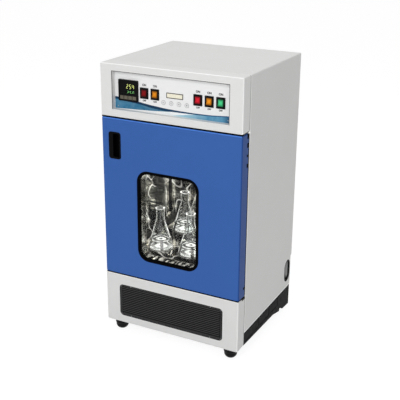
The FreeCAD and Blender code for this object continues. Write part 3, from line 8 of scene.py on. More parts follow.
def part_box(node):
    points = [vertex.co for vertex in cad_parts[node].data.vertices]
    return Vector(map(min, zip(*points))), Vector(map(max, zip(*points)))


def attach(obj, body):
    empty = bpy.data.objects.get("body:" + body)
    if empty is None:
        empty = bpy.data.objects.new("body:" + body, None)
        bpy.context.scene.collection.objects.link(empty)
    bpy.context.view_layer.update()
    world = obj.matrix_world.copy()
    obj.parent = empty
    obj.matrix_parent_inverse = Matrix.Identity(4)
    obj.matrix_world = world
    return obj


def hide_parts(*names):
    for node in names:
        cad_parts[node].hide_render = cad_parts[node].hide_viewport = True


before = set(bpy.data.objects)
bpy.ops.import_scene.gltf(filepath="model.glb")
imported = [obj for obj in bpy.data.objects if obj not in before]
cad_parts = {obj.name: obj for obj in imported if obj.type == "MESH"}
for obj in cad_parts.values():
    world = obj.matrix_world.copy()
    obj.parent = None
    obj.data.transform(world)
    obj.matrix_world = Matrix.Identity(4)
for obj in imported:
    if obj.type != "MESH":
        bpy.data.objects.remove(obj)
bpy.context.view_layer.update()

MM = 0.001

# Camera, in metres and degrees, fitted to the corners of the cabinet
CAMERA_PLACE = (1.1917, -2.3668, 1.4529)
CAMERA_YAW = 26.951
CAMERA_PITCH = 19.061
CAMERA_ROLL = 0.489
FOCAL_PIXELS = 804.88
IMAGE_PIXELS = 400
SENSOR_WIDTH = 36.0
SHIFT_Y = -0.055

# Colours, linear light
LIGHT_PAINT = (0.735, 0.735, 0.725)
SIDE_PAINT = (0.700, 0.700, 0.692)
DOOR_BLUE = (0.041, 0.119, 0.385)
# Painted shade: the door's blue as it looks on its shaded hinged side
SHADED_DOOR_SIDE_BLUE = (0.022, 0.072, 0.265)
BLACK_PLASTIC = (0.0040, 0.0040, 0.0045)
BLACK_RUBBER = (0.0010, 0.0010, 0.0014)
OUTLINE_BLACK = (0.0015, 0.0015, 0.0018)
NO_LIGHT = (0.0, 0.0, 0.0)
WHITE = (0.83, 0.83, 0.82)
BAND_NAVY = (0.008, 0.060, 0.150)
BAND_TEAL = (0.036, 0.185, 0.335)
BAND_BLUE = (0.085, 0.270, 0.440)
BAND_PALE = (0.420, 0.660, 0.760)
DIGIT_YELLOW = (0.62, 0.70, 0.20)
DIGIT_GREEN = (0.15, 0.46, 0.13)
GLINT = (0.95, 0.95, 0.92)
STEEL = (0.62, 0.61, 0.57)
DARK_STEEL = (0.30, 0.30, 0.31)
ALUMINIUM = (0.72, 0.73, 0.74)

# Corners of the CAD nodes that materials and pieces are placed by
head_low, head_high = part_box("control_head")
panel_low, panel_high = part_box("control_panel")
controller_low, controller_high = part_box("temperature_controller")
lcd_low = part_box("lcd_module")[0]
plinth_low, plinth_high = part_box("plinth_front")
grille_low, grille_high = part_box("plinth_grille")
side_low, side_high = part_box("cabinet_wrapper")
grip_low, grip_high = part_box("grip_inserts")
cover_low, cover_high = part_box("rear_cover")
lower_low, lower_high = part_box("compressor_cover")
bracket_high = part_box("hinge_brackets")[1]
door_low, door_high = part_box("door_skin")
liner_low, liner_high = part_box("door_liner")
gasket_low, gasket_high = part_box("window_gasket")
seal_low, seal_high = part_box("door_seal")
duct_low, duct_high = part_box("duct_panel")
flask_low, flask_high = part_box("flasks")

# The panel's clear opening
PANEL_MARGIN = 8 * MM
opening_left = panel_low.x + PANEL_MARGIN
opening_right = panel_high.x - PANEL_MARGIN
opening_bottom = panel_low.z + PANEL_MARGIN
opening_top = panel_high.z - PANEL_MARGIN
opening_width = opening_right - opening_left

GRILLE_FLANGE = 6.0 * MM

# The flasks, as the CAD has them
FLASK_RADIUS = 42.5 * MM
FLASK_WALL = 1.9 * MM
FLASK_HEEL = 7.0 * MM
NECK_RADIUS = 14.2 * MM
SHOULDER = 108.0 * MM
CONE_SLOPE = (FLASK_RADIUS - NECK_RADIUS) / (SHOULDER - FLASK_HEEL)
COLUMN_PITCH = flask_high.x - FLASK_RADIUS
ROWS = (flask_low.y + FLASK_RADIUS, flask_high.y - FLASK_RADIUS)
FLASK_PLACES = [(x, y) for x in (-COLUMN_PITCH, 0.0, COLUMN_PITCH) for y in ROWS]


# Nodes

def shade(colour, share):
    """The same colour, lighter or darker."""
    return tuple(min(1.0, channel * share) for channel in colour)


class Nodes:
    """Short calls that add nodes to a tree. A value is a number, a tuple or a socket."""

    def __init__(self, tree):
        self.tree = tree

    def put(self, socket, value):
        """Links a socket to another one, or sets it."""
        if isinstance(value, bpy.types.NodeSocket):
            self.tree.links.new(value, socket)
        elif socket.type == "RGBA":
            socket.default_value = (*value, 1.0)
        else:
            socket.default_value = value

    def node(self, kind, output, inputs=None, **settings):
        """One output of a new node with the given inputs and settings."""
        node = self.tree.nodes.new("ShaderNode" + kind)
        for name, value in settings.items():
            setattr(node, name, value)
        for name, value in (inputs or {}).items():
            self.put(node.inputs[name], value)
        return node.outputs[output]

    def place(self):
        """The position in the row frame, since every CAD object sits at the origin."""
        return self.node("TexCoord", "Object")

    def axis(self, letter):
        """One coordinate of the position."""
        return self.node("SeparateXYZ", letter, {0: self.place()})

    def noise(self, scale, detail=3.0, rough=0.55, stretch=None):
        """Noise of a given number of waves to the metre."""
        source = self.place()
        if stretch:
            source = self.node("Mapping", "Vector", {"Scale": stretch, "Vector": source})
        inputs = {"Scale": scale, "Detail": detail, "Roughness": rough, "Vector": source}
        return self.node("TexNoise", "Fac", inputs)

    def maths(self, operation, first, second=0.0):
        """Arithmetic on one value or two."""
        return self.node("Math", 0, {0: first, 1: second}, operation=operation)

    def product(self, first, *others):
        """Values multiplied."""
        for other in others:
            first = self.maths("MULTIPLY", first, other)
        return first

    def largest(self, first, *others):
        """The largest of some values."""
        for other in others:
            first = self.maths("MAXIMUM", first, other)
        return first

    def remap(self, value, low, high, start=0.3, end=0.7):
        """A value between start and end, mapped to low and high."""
        inputs = {"Value": value, "From Min": start, "From Max": end, "To Min": low, "To Max": high}
        return self.node("MapRange", "Result", inputs)

    def rise(self, value, start, end):
        """Zero below start, one above end."""
        return self.remap(value, 0.0, 1.0, start, end)

    def fall(self, value, start, end):
        """One below start, zero above end."""
        return self.remap(value, 1.0, 0.0, start, end)

    def mix(self, factor, first, second):
        """Mix of two colours."""
        return self.node("Mix", 2, {"Factor": factor, 6: first, 7: second}, data_type="RGBA")

    def away(self, letter, centre, half):
        """Distance from a centre along one axis, one at the given half size."""
        distance = self.maths("ABSOLUTE", self.maths("SUBTRACT", self.axis(letter), centre))
        return self.rise(distance, 0.0, half)

    def beyond(self, letter, centre, half):
        """How far a point lies outside a span along one axis, in metres; less than zero inside."""
        return self.maths("SUBTRACT", self.away(letter, centre, 1.0), half)

    def near_edge(self, edge, reach):
        """One along an edge given as (axis, place, axis, place), fading to zero at a distance."""
        return self.product(*[self.fall(self.away(letter, centre, reach), 0.35, 1.0)
                              for letter, centre in (edge[:2], edge[2:])])

    def sharp_edges(self, radius, share):
        """A share at sharp edges, fading to zero within a radius."""
        inputs = {0: self.node("Bevel", "Normal", {"Radius": radius}, samples=4),
                  1: self.node("NewGeometry", "True Normal")}
        return self.remap(self.node("VectorMath", "Value", inputs, operation="DOT_PRODUCT"), share, 0.0,
                          0.80, 0.995)

    def nearest(self, letter, centre, pitch):
        """Distance along an axis from the nearest of a row of centres, one of them given."""
        inputs = {0: self.axis(letter), 1: centre + pitch / 2, 2: centre - pitch / 2}
        return self.maths("SUBTRACT", self.node("Math", 0, inputs, operation="WRAP"), centre)

    def seen_directly(self):
        """One for camera, glossy and transmission rays, which see the pale background."""
        return self.largest(*[self.node("LightPath", f"Is {kind} Ray")
                              for kind in ("Camera", "Transmission", "Glossy")])


class Coat(Nodes):
    """A node material on Blender's main shader."""

    SOCKETS = {"colour": "Base Color", "rough": "Roughness", "shine": "Specular IOR Level",
               "metal": "Metallic", "glow": "Emission Color", "strength": "Emission Strength",
               "alpha": "Alpha", "ior": "IOR", "clear": "Transmission Weight"}

    def __init__(self, name, **values):
        self.material = bpy.data.materials.new(name)
        self.material.use_nodes = True
        super().__init__(self.material.node_tree)
        self.shader = self.tree.nodes["Principled BSDF"]
        self.look(**values)

    def look(self, **values):
        """Sets or links the shader's sockets."""
        for name, value in values.items():
            self.put(self.shader.inputs[self.SOCKETS[name]], value)

    def linked(self, name):
        """What a socket of the shader is linked to."""
        return self.shader.inputs[self.SOCKETS[name]].links[0].from_socket

    def drift(self, colour, low, high, scale, detail=3.0):
        """Gives the coat a colour that wanders between two shades."""
        self.look(colour=self.mix(self.noise(scale, detail), shade(colour, low), shade(colour, high)))

    def cover(self, mask, colour):
        """Lays a colour over the present one where a mask is one."""
        self.look(colour=self.mix(mask, self.linked("colour"), colour))

    def bump(self, *heights):
        """Bump from (height socket, depth in metres) pairs, chained one on another."""
        inputs = {"Strength": 1.0}
        for height, depth in heights:
            inputs.update({"Distance": depth, "Height": height})
            inputs["Normal"] = self.node("Bump", "Normal", inputs)
        self.put(self.shader.inputs["Normal"], inputs["Normal"])

    def skin(self, scale, low, high, grain_scale, grain_detail, depth):
        """Roughness that varies between two values, and a fine grain."""
        self.look(rough=self.remap(self.noise(scale), low, high))
        self.bump((self.noise(grain_scale, grain_detail), depth))
        return self


# Materials

# Reach of the painted shade along seams
SEAM_REACH = 0.0046


def powder_coat(name, colour, rough=0.36, grain=0.00002, shine=0.12, edge=0.7, folds=(), reach=0.003,
                pale=1.4, seams=()):
    """Baked powder paint: fine orange peel and faint tone drift, with painted highlights on sharp and folded
    edges and painted shade along the seams.
    """
    coat = Coat(name, shine=shine)
    coat.drift(colour, 0.972, 1.022, 7.0, 2.0)
    coat.cover(coat.remap(coat.noise(2600.0, 2.0), 0.0, 0.10), shade(colour, 0.80))
    # Painted highlight: sharp edges made lighter, by the share given as edge
    coat.cover(coat.sharp_edges(0.0018, edge), shade(colour, 1.30))
    # Painted highlights along the folded edges listed
    for fold in folds:
        coat.cover(coat.near_edge(fold, reach), shade(colour, pale))
    # Painted shade along the seams listed
    for seam in seams:
        coat.cover(coat.near_edge(seam, SEAM_REACH), shade(colour, 0.34))
    return coat.skin(90.0, rough - 0.04, rough + 0.05, 620.0, 2.0, grain)


def moulded(name, colour, rough=0.46, grain=0.00004, scale=1500.0, edge=1.9, reach=0.0008, shine=0.06):
    """Moulded plastic with a spark-eroded grain, duller in patches; its sharp edges get a painted highlight
    where the edge tone is above one and painted shade where it is below.
    """
    coat = Coat(name, shine=shine)
    coat.drift(colour, 0.85, 1.25, 24.0)
    # Painted highlight along sharp edges when the edge tone is above one, painted shade when it is below
    coat.cover(coat.sharp_edges(reach, 0.8), shade(colour, edge))
    return coat.skin(60.0, rough - 0.07, rough + 0.09, scale, 2.0, grain)


def rubber(name):
    """Extruded rubber: matt, with a dusty bloom and a fine grain."""
    coat = Coat(name, shine=0.02)
    bloom = coat.remap(coat.noise(40.0, 4.0), 0.0, 0.5, 0.45, 0.75)
    coat.look(colour=coat.mix(bloom, BLACK_RUBBER, shade(BLACK_RUBBER, 1.8)))
    return coat.skin(150.0, 0.55, 0.72, 900.0, 3.0, 0.00004)


def polished_steel(name):
    """Bright-annealed sheet: a dented mirror with dull patches, painted dark and bright reflection patches in
    its colour, and glowing curls of painted reflected light.
    """
    coat = Coat(name, metal=1.0, strength=0.80)
    smudge_and_reflection = coat.noise(9.0, 1.0, 0.5)
    ridge = coat.maths("ABSOLUTE", coat.maths("SUBTRACT", coat.noise(15.0, 0.0, 0.5), 0.5))
    glint_curl = coat.product(coat.fall(ridge, 0.005, 0.020), coat.rise(coat.noise(8.0, 1.0), 0.48, 0.56))
    # Painted reflections: dark and bright patches in the colour, and glowing painted glint curls
    coat.look(colour=coat.mix(coat.rise(smudge_and_reflection, 0.41, 0.56), shade(STEEL, 0.13), shade(STEEL, 1.35)),
              glow=coat.mix(glint_curl, shade(STEEL, 0.010), shade(STEEL, 1.20)),
              rough=coat.remap(smudge_and_reflection, 0.01, 0.08))
    coat.cover(glint_curl, (0.98, 0.97, 0.93))
    coat.bump((coat.noise(8.0, 0.5), 0.0062), (coat.noise(60.0, 2.0, 0.5, (1.0, 1.0, 40.0)), 0.000004))
    return coat


def brushed_metal(name, colour, rough, stretch):
    """Metal with long brushed scratches and a soft tarnish."""
    coat = Coat(name, metal=1.0)
    lines = coat.noise(40.0, 3.0, 0.6, stretch)
    coat.drift(colour, 0.80, 1.12, 30.0, 4.0)
    coat.cover(coat.remap(lines, 0.0, 0.35), shade(colour, 0.62))
    coat.look(rough=coat.remap(lines, rough - 0.08, rough + 0.12))
    coat.bump((lines, 0.00003))
    return coat


def cast_metal(name, colour):
    """Cast or turned metal with a fine sandy skin."""
    coat = Coat(name, metal=1.0)
    coat.drift(colour, 0.75, 1.15, 120.0, 4.0)
    return coat.skin(300.0, 0.35, 0.57, 1400.0, 3.0, 0.00006)


def glossy_plastic(name, colour, depth):
    """Glossy tinted plastic, darker along its edges."""
    coat = Coat(name, rough=0.3, shine=0.3)
    coat.drift(colour, 1.0 - depth / 3, 1.0 + depth / 3, 260.0, 2.0)
    coat.cover(coat.sharp_edges(0.0016, 0.85), shade(colour, 1.0 - depth))
    coat.bump((coat.noise(700.0, 2.0), 0.00001))
    return coat


def lens(name, node_name, colour, strength):
    """Tinted rocker lit from behind: bright in the middle, dark towards its rim."""
    coat = Coat(name, strength=strength, rough=0.22, shine=0.12)
    low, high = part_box(node_name)
    centre = (low + high) / 2
    half = (high - low) / 2
    reach = coat.largest(coat.away("X", centre.x, half.x), coat.away("Z", centre.z, half.z))
    reach = coat.maths("ADD", reach, coat.remap(coat.noise(420.0, 2.0), -0.06, 0.06))
    tone = coat.mix(coat.rise(reach, 0.30, 0.98), colour, shade(colour, 0.10))
    coat.look(colour=tone, glow=tone)
    return coat


def ink(name, low, high):
    """Screen-printed ink with a faint screen texture, its colour still to be given."""
    return Coat(name, shine=0.1).skin(400.0, low, high, 1800.0, 1.0, 0.000008)


def graded_print(name, first, second, start, end, wear=0.22):
    """Ink that runs from one colour to another between two shares of the panel's width."""
    coat = ink(name, 0.32, 0.42)
    across = coat.rise(coat.axis("X"), *[opening_left + share * opening_width for share in (start, end)])
    coat.look(colour=coat.mix(across, first, second))
    coat.cover(coat.remap(coat.noise(55.0, 2.0), 0.0, wear), BAND_PALE)
    return coat


def printed(name, colour, second=None, rough=0.35):
    """Ink of one colour that drifts to a second."""
    coat = ink(name, rough - 0.05, rough + 0.05)
    coat.look(colour=coat.mix(coat.noise(55.0, 2.0), colour, second or shade(colour, 1.18)))
    return coat


def lit(name, colour, strength):
    """Glowing display segment, lamp or painted glint, uneven as a real diffuser is."""
    coat = Coat(name, strength=strength, rough=0.4)
    coat.drift(colour, 0.86, 1.1, 900.0, 2.0)
    coat.look(glow=coat.linked("colour"))
    return coat


def clear_glass(name, tint, ior, rim=0.0):
    """Blown glass or liquid with a slight unevenness, and a glowing painted highlight where its wall is seen
    edge-on.
    """
    coat = Coat(name, rough=0.0, ior=ior, clear=1.0)
    coat.drift(tint, 1.0, 0.965, 35.0, 2.0)
    coat.bump((coat.noise(30.0, 2.0), 0.00012))
    # Painted highlight: a glow on the wall where it is seen edge-on
    if rim:
        facing = coat.node("LayerWeight", "Facing", {"Blend": 0.5})
        streak = coat.remap(coat.noise(55.0, 2.0, 0.5, (1.0, 1.0, 0.15)), 0.35, 1.0, 0.40, 0.60)
        edge = coat.product(coat.rise(facing, 0.66, 0.94), streak)
        coat.look(glow=coat.mix(edge, NO_LIGHT, (rim, rim, rim * 0.96)), strength=1.0)
    return coat


def glowing_glint(name, clear, rings):
    """Painted glint on a liquid surface and a glass floor: a glowing disc with uneven rings round each flask's
    axis.
    """
    coat = Coat(name, strength=0.8, rough=0.12)
    flat = coat.node("CombineXYZ", 0, {0: coat.nearest("X", 0.0, COLUMN_PITCH),
                                       1: coat.nearest("Y", ROWS[1], ROWS[1] - ROWS[0])})
    inputs = {"Scale": rings, "Distortion": 3.2, "Detail": 1.0, "Detail Scale": 2.0, "Vector": flat}
    swirl = coat.node("TexWave", "Fac", inputs, wave_type="RINGS", rings_direction="Z")
    tone = coat.mix(coat.rise(swirl, 0.28, 0.55), shade(GLINT, 0.04), GLINT)
    coat.look(colour=tone, glow=tone, alpha=coat.remap(swirl, 0.75 - clear, 1.25 - clear))
    return coat


def pane_glass(name):
    """Thin clear pane: only a trace of dust, with faint reflections."""
    coat = Coat(name, rough=0.02, shine=0.5)
    coat.look(colour=coat.mix(coat.noise(9.0, 2.0), (0.05, 0.055, 0.055), (0.10, 0.11, 0.11)),
              alpha=coat.remap(coat.noise(14.0, 3.0), 0.02, 0.05))
    return coat


def foam(name):
    """Cream rigid foam, finely pitted."""
    coat = Coat(name, rough=0.9)
    pits = coat.noise(900.0, 4.0)
    coat.look(colour=coat.mix(pits, (0.52, 0.44, 0.25), (0.70, 0.62, 0.40)))
    coat.bump((pits, 0.0004))
    return coat


def grip_plastic(name):
    """Deep black rim on the cabinet's side, a pale grey inside it, and painted shade at the recess's top and
    bottom ends.
    """
    coat = Coat(name, shine=0.1)
    coat.look(colour=coat.mix(coat.noise(60.0), (0.40, 0.40, 0.40), (0.62, 0.62, 0.62)))
    # Painted shade at the top and bottom ends of the recess
    from_middle = coat.away("Z", (grip_low.z + grip_high.z) / 2, (grip_high.z - grip_low.z) / 2)
    coat.cover(coat.rise(from_middle, 0.60, 0.80), (0.020, 0.020, 0.020))
    outwards = coat.maths("ABSOLUTE", coat.axis("X"))
    coat.cover(coat.rise(outwards, grip_high.x - 0.0070, grip_high.x - 0.0055), (0.004, 0.004, 0.004))
    return coat.skin(90.0, 0.5, 0.65, 1200.0, 2.0, 0.00004)


def door_paint(name):
    """The door's blue paint, with a painted highlight on its top edge, painted shade over its hinged side
    face, and deeper painted shade along that face's rear edge by the cabinet.
    """
    # Painted highlight along the door's top front edge
    coat = powder_coat(name, DOOR_BLUE, 0.40, 0.00002, 0.08, 0.4, [("Z", door_high.z, "Y", door_low.y)],
                       0.004, 2.3)
    # Painted shade on the hinged side face, deepest along its rear edge
    side = coat.rise(coat.axis("X"), door_high.x - 0.0040, door_high.x - 0.0030)
    seam = coat.remap(coat.axis("Y"), 0.0, 0.8, door_high.y - 0.0045, door_high.y - 0.0015)
    coat.cover(side, SHADED_DOOR_SIDE_BLUE)
    coat.cover(coat.product(side, seam), (0.006, 0.014, 0.030))
    return coat


def skirt_plastic(name):
    """Black moulded base, with painted shade along its sharp edges and darkest painted shade in the line under
    the cabinet's side.
    """
    coat = moulded(name, (0.0068, 0.0068, 0.0072), 0.55, 0.00010, 800.0, 0.05, 0.0060, 0.04)
    # Painted shade in the line under the cabinet's side
    line = coat.rise(coat.axis("Z"), side_low.z - 0.0060, side_low.z - 0.0035)
    coat.cover(line, (0.0008, 0.0008, 0.0009))
    return coat


def liner_steel(name):
    """Door liner: brushed steel on its face, a mirror in the window's tunnel, its foot near-black painted
    shade with glowing painted glint streaks.
    """
    coat = brushed_metal(name, STEEL, 0.22, (60.0, 60.0, 1.0))
    face_y = (liner_high.y - 0.0040, liner_high.y - 0.0030)
    face = coat.rise(coat.axis("Y"), *face_y)
    inside = coat.fall(coat.axis("Y"), *face_y)
    # Painted shade and glowing painted glint streaks at the foot of the tunnel, brightest towards its front
    foot = coat.fall(coat.axis("Z"), gasket_low.z + 0.012, gasket_low.z + 0.016)
    front = coat.remap(coat.axis("Y"), 0.7, 0.0, liner_low.y + 0.003, liner_low.y + 0.007)
    streak = coat.largest(coat.rise(coat.noise(85.0, 2.0, 0.5, (1.0, 0.30, 1.0)), 0.47, 0.60), front)
    foot_shade_and_glints = coat.mix(streak, (0.012, 0.012, 0.012), shade(STEEL, 1.25))
    tunnel = coat.mix(foot, shade(STEEL, 1.15), foot_shade_and_glints)
    coat.look(colour=coat.mix(face, tunnel, coat.linked("colour")),
              glow=coat.mix(coat.product(inside, foot, streak), NO_LIGHT, (0.46, 0.45, 0.41)), strength=1.0,
              rough=coat.largest(coat.product(face, coat.linked("rough")),
                                 coat.remap(face, 0.05, 0.0, 0.0, 1.0)))
    return coat


def grille_plastic(name):
    """Black moulding: grey frame with a dark outline, and slats with painted highlights on their noses."""
    coat = Coat(name, shine=0.15)
    centre = (grille_low + grille_high) / 2
    half = (grille_high - grille_low) / 2
    border = coat.largest(coat.beyond("X", centre.x, half.x - GRILLE_FLANGE),
                          coat.beyond("Z", centre.z, half.z - GRILLE_FLANGE))
    # Painted highlight on the slats' front noses
    nose_highlight = coat.fall(coat.axis("Y"), grille_low.y + 0.0002, grille_low.y + 0.0024)
    coat.look(colour=coat.mix(nose_highlight, (0.0030, 0.0030, 0.0033), (0.082, 0.082, 0.083)))
    grey = coat.mix(coat.noise(24.0), (0.094, 0.094, 0.096), (0.124, 0.124, 0.126))
    for start, end, colour in ((-0.0112, -0.0106, OUTLINE_BLACK), (-0.0088, -0.0082, grey),
                               (-0.0052, -0.0042, OUTLINE_BLACK)):
        coat.cover(coat.rise(border, start, end), colour)
    return coat.skin(60.0, 0.38, 0.54, 1300.0, 2.0, 0.00003)


def box_paint(name, colour, low, high):
    """Paint for a front box: painted highlights on the folds round its front, painted shade along the joints
    where it meets the cabinet's sides.
    """
    folds = [("Z", low.z, "Y", low.y), ("Z", high.z, "Y", low.y), ("X", high.x, "Y", low.y),
             ("X", low.x, "Y", low.y)]
    seams = [("Y", high.y, "X", high.x), ("Y", high.y, "X", low.x)]
    return powder_coat(name, colour, folds=folds, seams=seams)


def plinth_paint(name):
    """The plinth's paint, the head's paint a little darker, with painted shade under the lower hinge in its
    corner below the door.
    """
    coat = box_paint(name, shade(LIGHT_PAINT, 0.955), plinth_low, plinth_high)
    # Painted shade: black in the corner under the lower hinge
    corner = coat.product(coat.near_edge(("Z", plinth_high.z, "X", plinth_high.x), 0.0085),
                          coat.rise(coat.axis("Y"), plinth_high.y - 0.026, plinth_high.y - 0.022))
    coat.cover(coat.rise(corner, 0.02, 0.25), (0.002, 0.002, 0.002))
    return coat


# Edges of the cabinet's sides that get a painted highlight
side_folds = [fold for x in (side_high.x, side_low.x)
              for fold in (("Z", side_low.z, "X", x), ("Y", side_low.y, "X", x))]
black_rubber = rubber("black_rubber")
zinc_steel = brushed_metal("zinc_steel", (0.50, 0.50, 0.50), 0.30, (20.0, 20.0, 20.0))
ink_black = printed("ink_black", (0.02, 0.02, 0.022), (0.03, 0.03, 0.032))
ink_grey = printed("ink_grey", (0.22, 0.22, 0.23))

# Each coat with its CAD nodes, by name or by how a numbered one starts; the longest that fits counts
COATS = [
    (skirt_plastic("base_plastic"), "base_frame"),
    (powder_coat("wrapper_paint", SIDE_PAINT, folds=side_folds, reach=0.0055), "cabinet_wrapper"),
    (grip_plastic("grip_plastic"), "grip_inserts"),
    (powder_coat("paint_side", SIDE_PAINT), "rear_cover compressor_cover"),
    (box_paint("head_paint", LIGHT_PAINT, head_low, head_high), "control_head"),
    (powder_coat("panel_paint", (0.84, 0.84, 0.84), 0.3), "control_panel"),
    (moulded("case_plastic", (0.0050, 0.0050, 0.0055), 0.30, 0.00001, 900.0, 0.4, 0.0012, 0.04),
     "temperature_controller"),
    (moulded("lcd_frame", (0.085, 0.080, 0.070), 0.4), "lcd_module"),
    (moulded("black_plastic", BLACK_PLASTIC), "mains_inlet switch_housings"),
    (glossy_plastic("key_plastic", (0.72, 0.72, 0.72), 0.2), "key_"),
    (plinth_paint("plinth_paint"), "plinth_front"),
    (grille_plastic("grille_plastic"), "plinth_grille"),
    (polished_steel("mirror_steel"), "chamber_liner duct_panel platform"),
    (foam("cream_foam"), "insulation door_insulation"),
    (cast_metal("aluminium", ALUMINIUM), "circulation_fan drive_base large_pulley motor_pulley carrier_frame"),
    (powder_coat("motor_paint", (0.075, 0.085, 0.095), 0.4, 0.00006), "fan_motor shaker_motor"),
    (brushed_metal("machined_steel", DARK_STEEL, 0.34, (2.0, 2.0, 60.0)), "heater crank_shaft idler_crank"),
    (brushed_metal("fin_metal", (0.70, 0.71, 0.72), 0.4, (2.0, 2.0, 40.0)), "evaporator condenser"),
    (brushed_metal("spring_steel", (0.58, 0.58, 0.57), 0.20, (30.0, 30.0, 2.0)),
     "temperature_probe flask_clamps"),
    (powder_coat("black_enamel", (0.010, 0.010, 0.011), 0.28, 0.00004),
     "compressor condenser_fan_shroud hinge_brackets"),
    (moulded("fan_plastic", (0.02, 0.02, 0.022), 0.45), "condenser_fan"),
    (lit("lamp_glow", (1.0, 0.98, 0.92), 70.0), "chamber_lamp"),
    (clear_glass("flask_glass", (0.97, 0.99, 0.985), 1.47, 2.2), "flasks"),
    (door_paint("paint_blue"), "door_skin"),
    (liner_steel("liner_steel"), "door_liner"),
    (black_rubber, "window_gasket door_seal drive_belt"),
    (pane_glass("window_pane"), "window_glass"),
    (moulded("pull_plastic", (0.0016, 0.0016, 0.0020), 0.40, shine=0.04), "handle_cup"),
    (moulded("foot_plastic", (0.0018, 0.0018, 0.0020), 0.42, 0.00004, 1500.0, 6.0, 0.0012, 0.12),
     "levelling_foot"),
]

# Lens of each rocker, from left to right, as (name, colour, strength)
ROCKERS = {
    "heater_rocker": ("dark_red_lens", (0.20, 0.0015, 0.003), 0.08),
    "cooling_rocker": ("amber_lens", (0.66, 0.22, 0.007), 0.16),
    "shaker_rocker": ("red_lens", (0.60, 0.008, 0.022), 0.20),
    "light_rocker": ("second_amber_lens", (0.74, 0.25, 0.009), 0.20),
    "mains_rocker": ("green_lens", (0.050, 0.52, 0.20), 0.20),
}
coats = {start: coat for coat, starts in COATS for start in starts.split()}
for rocker, (name, colour, strength) in ROCKERS.items():
    coats[rocker] = lens(name, rocker, colour, strength)
for name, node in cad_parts.items():
    start = max(filter(name.startswith, coats), key=len)
    node.data.materials.clear()
    node.data.materials.append(coats[start].material)


# Mesh helpers

def new_piece(name, mesh, coat, body):
    """A named object with one material that rides on a body."""
    piece = bpy.data.objects.new(name, mesh)
    bpy.context.scene.collection.objects.link(piece)
    mesh.materials.clear()
    mesh.materials.append(coat.material)
    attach(piece, body)
    return piece


def add_piece(name, builder, coat, body, crease=0.0):
    """Turns a bmesh into a piece, shaded smooth up to a crease angle in degrees: 0 flat, 180 all smooth."""
    bmesh.ops.recalc_face_normals(builder, faces=builder.faces)
    builder.normal_update()
    for face in builder.faces:
        face.smooth = crease > 0.0
    if 0.0 < crease < 180.0:
        for edge in builder.edges:
            edge.smooth = len(edge.link_faces) == 2 and edge.calc_face_angle(0.0) < math.radians(crease)
    mesh = bpy.data.meshes.new(name)
    builder.to_mesh(mesh)
    builder.free()
    return new_piece(name, mesh, coat, body)


def loft(rings, closed=True):
    """Faces through rings of points, back to the first where closed; a ring of one point is a tip."""
    builder = bmesh.new()
    rings = [[builder.verts.new(point) for point in ring] for ring in rings]
    for first, second in zip(rings, rings[1:] + rings[:1] if closed else rings[1:]):
        count = max(len(first), len(second))
        for i in range(count):
            j = (i + 1) % count
            if len(first) == 1:
                builder.faces.new((first[0], second[i], second[j]))
            elif len(second) == 1:
                builder.faces.new((first[i], first[j], second[0]))
            else:
                builder.faces.new((first[i], first[j], second[j], second[i]))
    return builder


def prism(first, second):
    """Closed solid between two outlines of as many points."""
    builder = loft([first, second], False)
    builder.verts.ensure_lookup_table()
    builder.faces.new(builder.verts[:len(first)])
    builder.faces.new(builder.verts[len(first):][::-1])
    return builder


def circle(radius, height, segments):
    """Points round Z, or the one on it."""
    if radius < 1e-7:
        return [(0.0, 0.0, height)]
    angles = [math.tau * i / segments for i in range(segments)]
    return [(radius * math.cos(angle), radius * math.sin(angle), height) for angle in angles]


def turned_form(profile, segments=48):
    """Surface turned about Z from (radius, height) points."""
    return loft([circle(radius, height, segments) for radius, height in profile], False)


def rounded_outline(x, z, radius, steps):
    """Points (x, z) round a rectangle with round corners."""
    corners = [(x[1] - radius, z[1] - radius), (x[0] + radius, z[1] - radius),
               (x[0] + radius, z[0] + radius), (x[1] - radius, z[0] + radius)]
    angles = [(corner, math.pi / 2 * (quarter + step / steps))
              for quarter, corner in enumerate(corners) for step in range(steps + 1)]
    return [(corner[0] + radius * math.cos(angle), corner[1] + radius * math.sin(angle))
            for corner, angle in angles]


def outline_sweep(low, high, radius, profile, steps):
    """A section of (inset, y) points carried round a rectangle with round corners."""
    rings = []
    for inset, y in profile:
        outline = rounded_outline((low.x + inset, high.x - inset), (low.z + inset, high.z - inset),
                                  max(radius - inset, 0.0003), steps)
        rings.append([(x, y, z) for x, z in outline])
    return loft(rings)


def flat_plate(outline, y, thickness):
    """Plate with an outline of (x, z) points, its face towards -Y at y and its back behind it."""
    return prism(*[[(x, level, z) for x, z in outline] for level in (y, y + thickness)])


def bar(x, y, z, edge=0.3 * MM):
    """Straight strip with its long edges chamfered, between limits in the row frame."""
    outline = [(x[0] + edge, y[0]), (x[1] - edge, y[0]), (x[1], y[0] + edge), (x[1], y[1] - edge),
               (x[1] - edge, y[1]), (x[0] + edge, y[1]), (x[0], y[1] - edge), (x[0], y[0] + edge)]
    return prism(*[[(*point, level) for point in outline] for level in z])


def moved(builder, place, turn=Matrix()):
    """The same bmesh, turned and then moved to a place."""
    bmesh.ops.transform(builder, matrix=Matrix.Translation(place) @ turn, verts=builder.verts)
    return builder


def joined(builders):
    """One bmesh from several."""
    whole = bmesh.new()
    for builder in builders:
        mesh = bpy.data.meshes.new("part")
        builder.to_mesh(mesh)
        builder.free()
        whole.from_mesh(mesh)
        bpy.data.meshes.remove(mesh)
    return whole


FACE_FRONT = Matrix.Rotation(math.radians(90), 4, "X")
FACE_BACK = Matrix.Rotation(math.radians(-90), 4, "X")

# Section of a pan-head screw, in shares of its radius and height
PAN_HEAD = [(0.0, 0.35), (0.32, 0.35), (0.36, 1.0), (0.62, 0.97), (0.86, 0.78), (1.0, 0.35), (1.0, 0.0),
            (0.0, 0.0)]


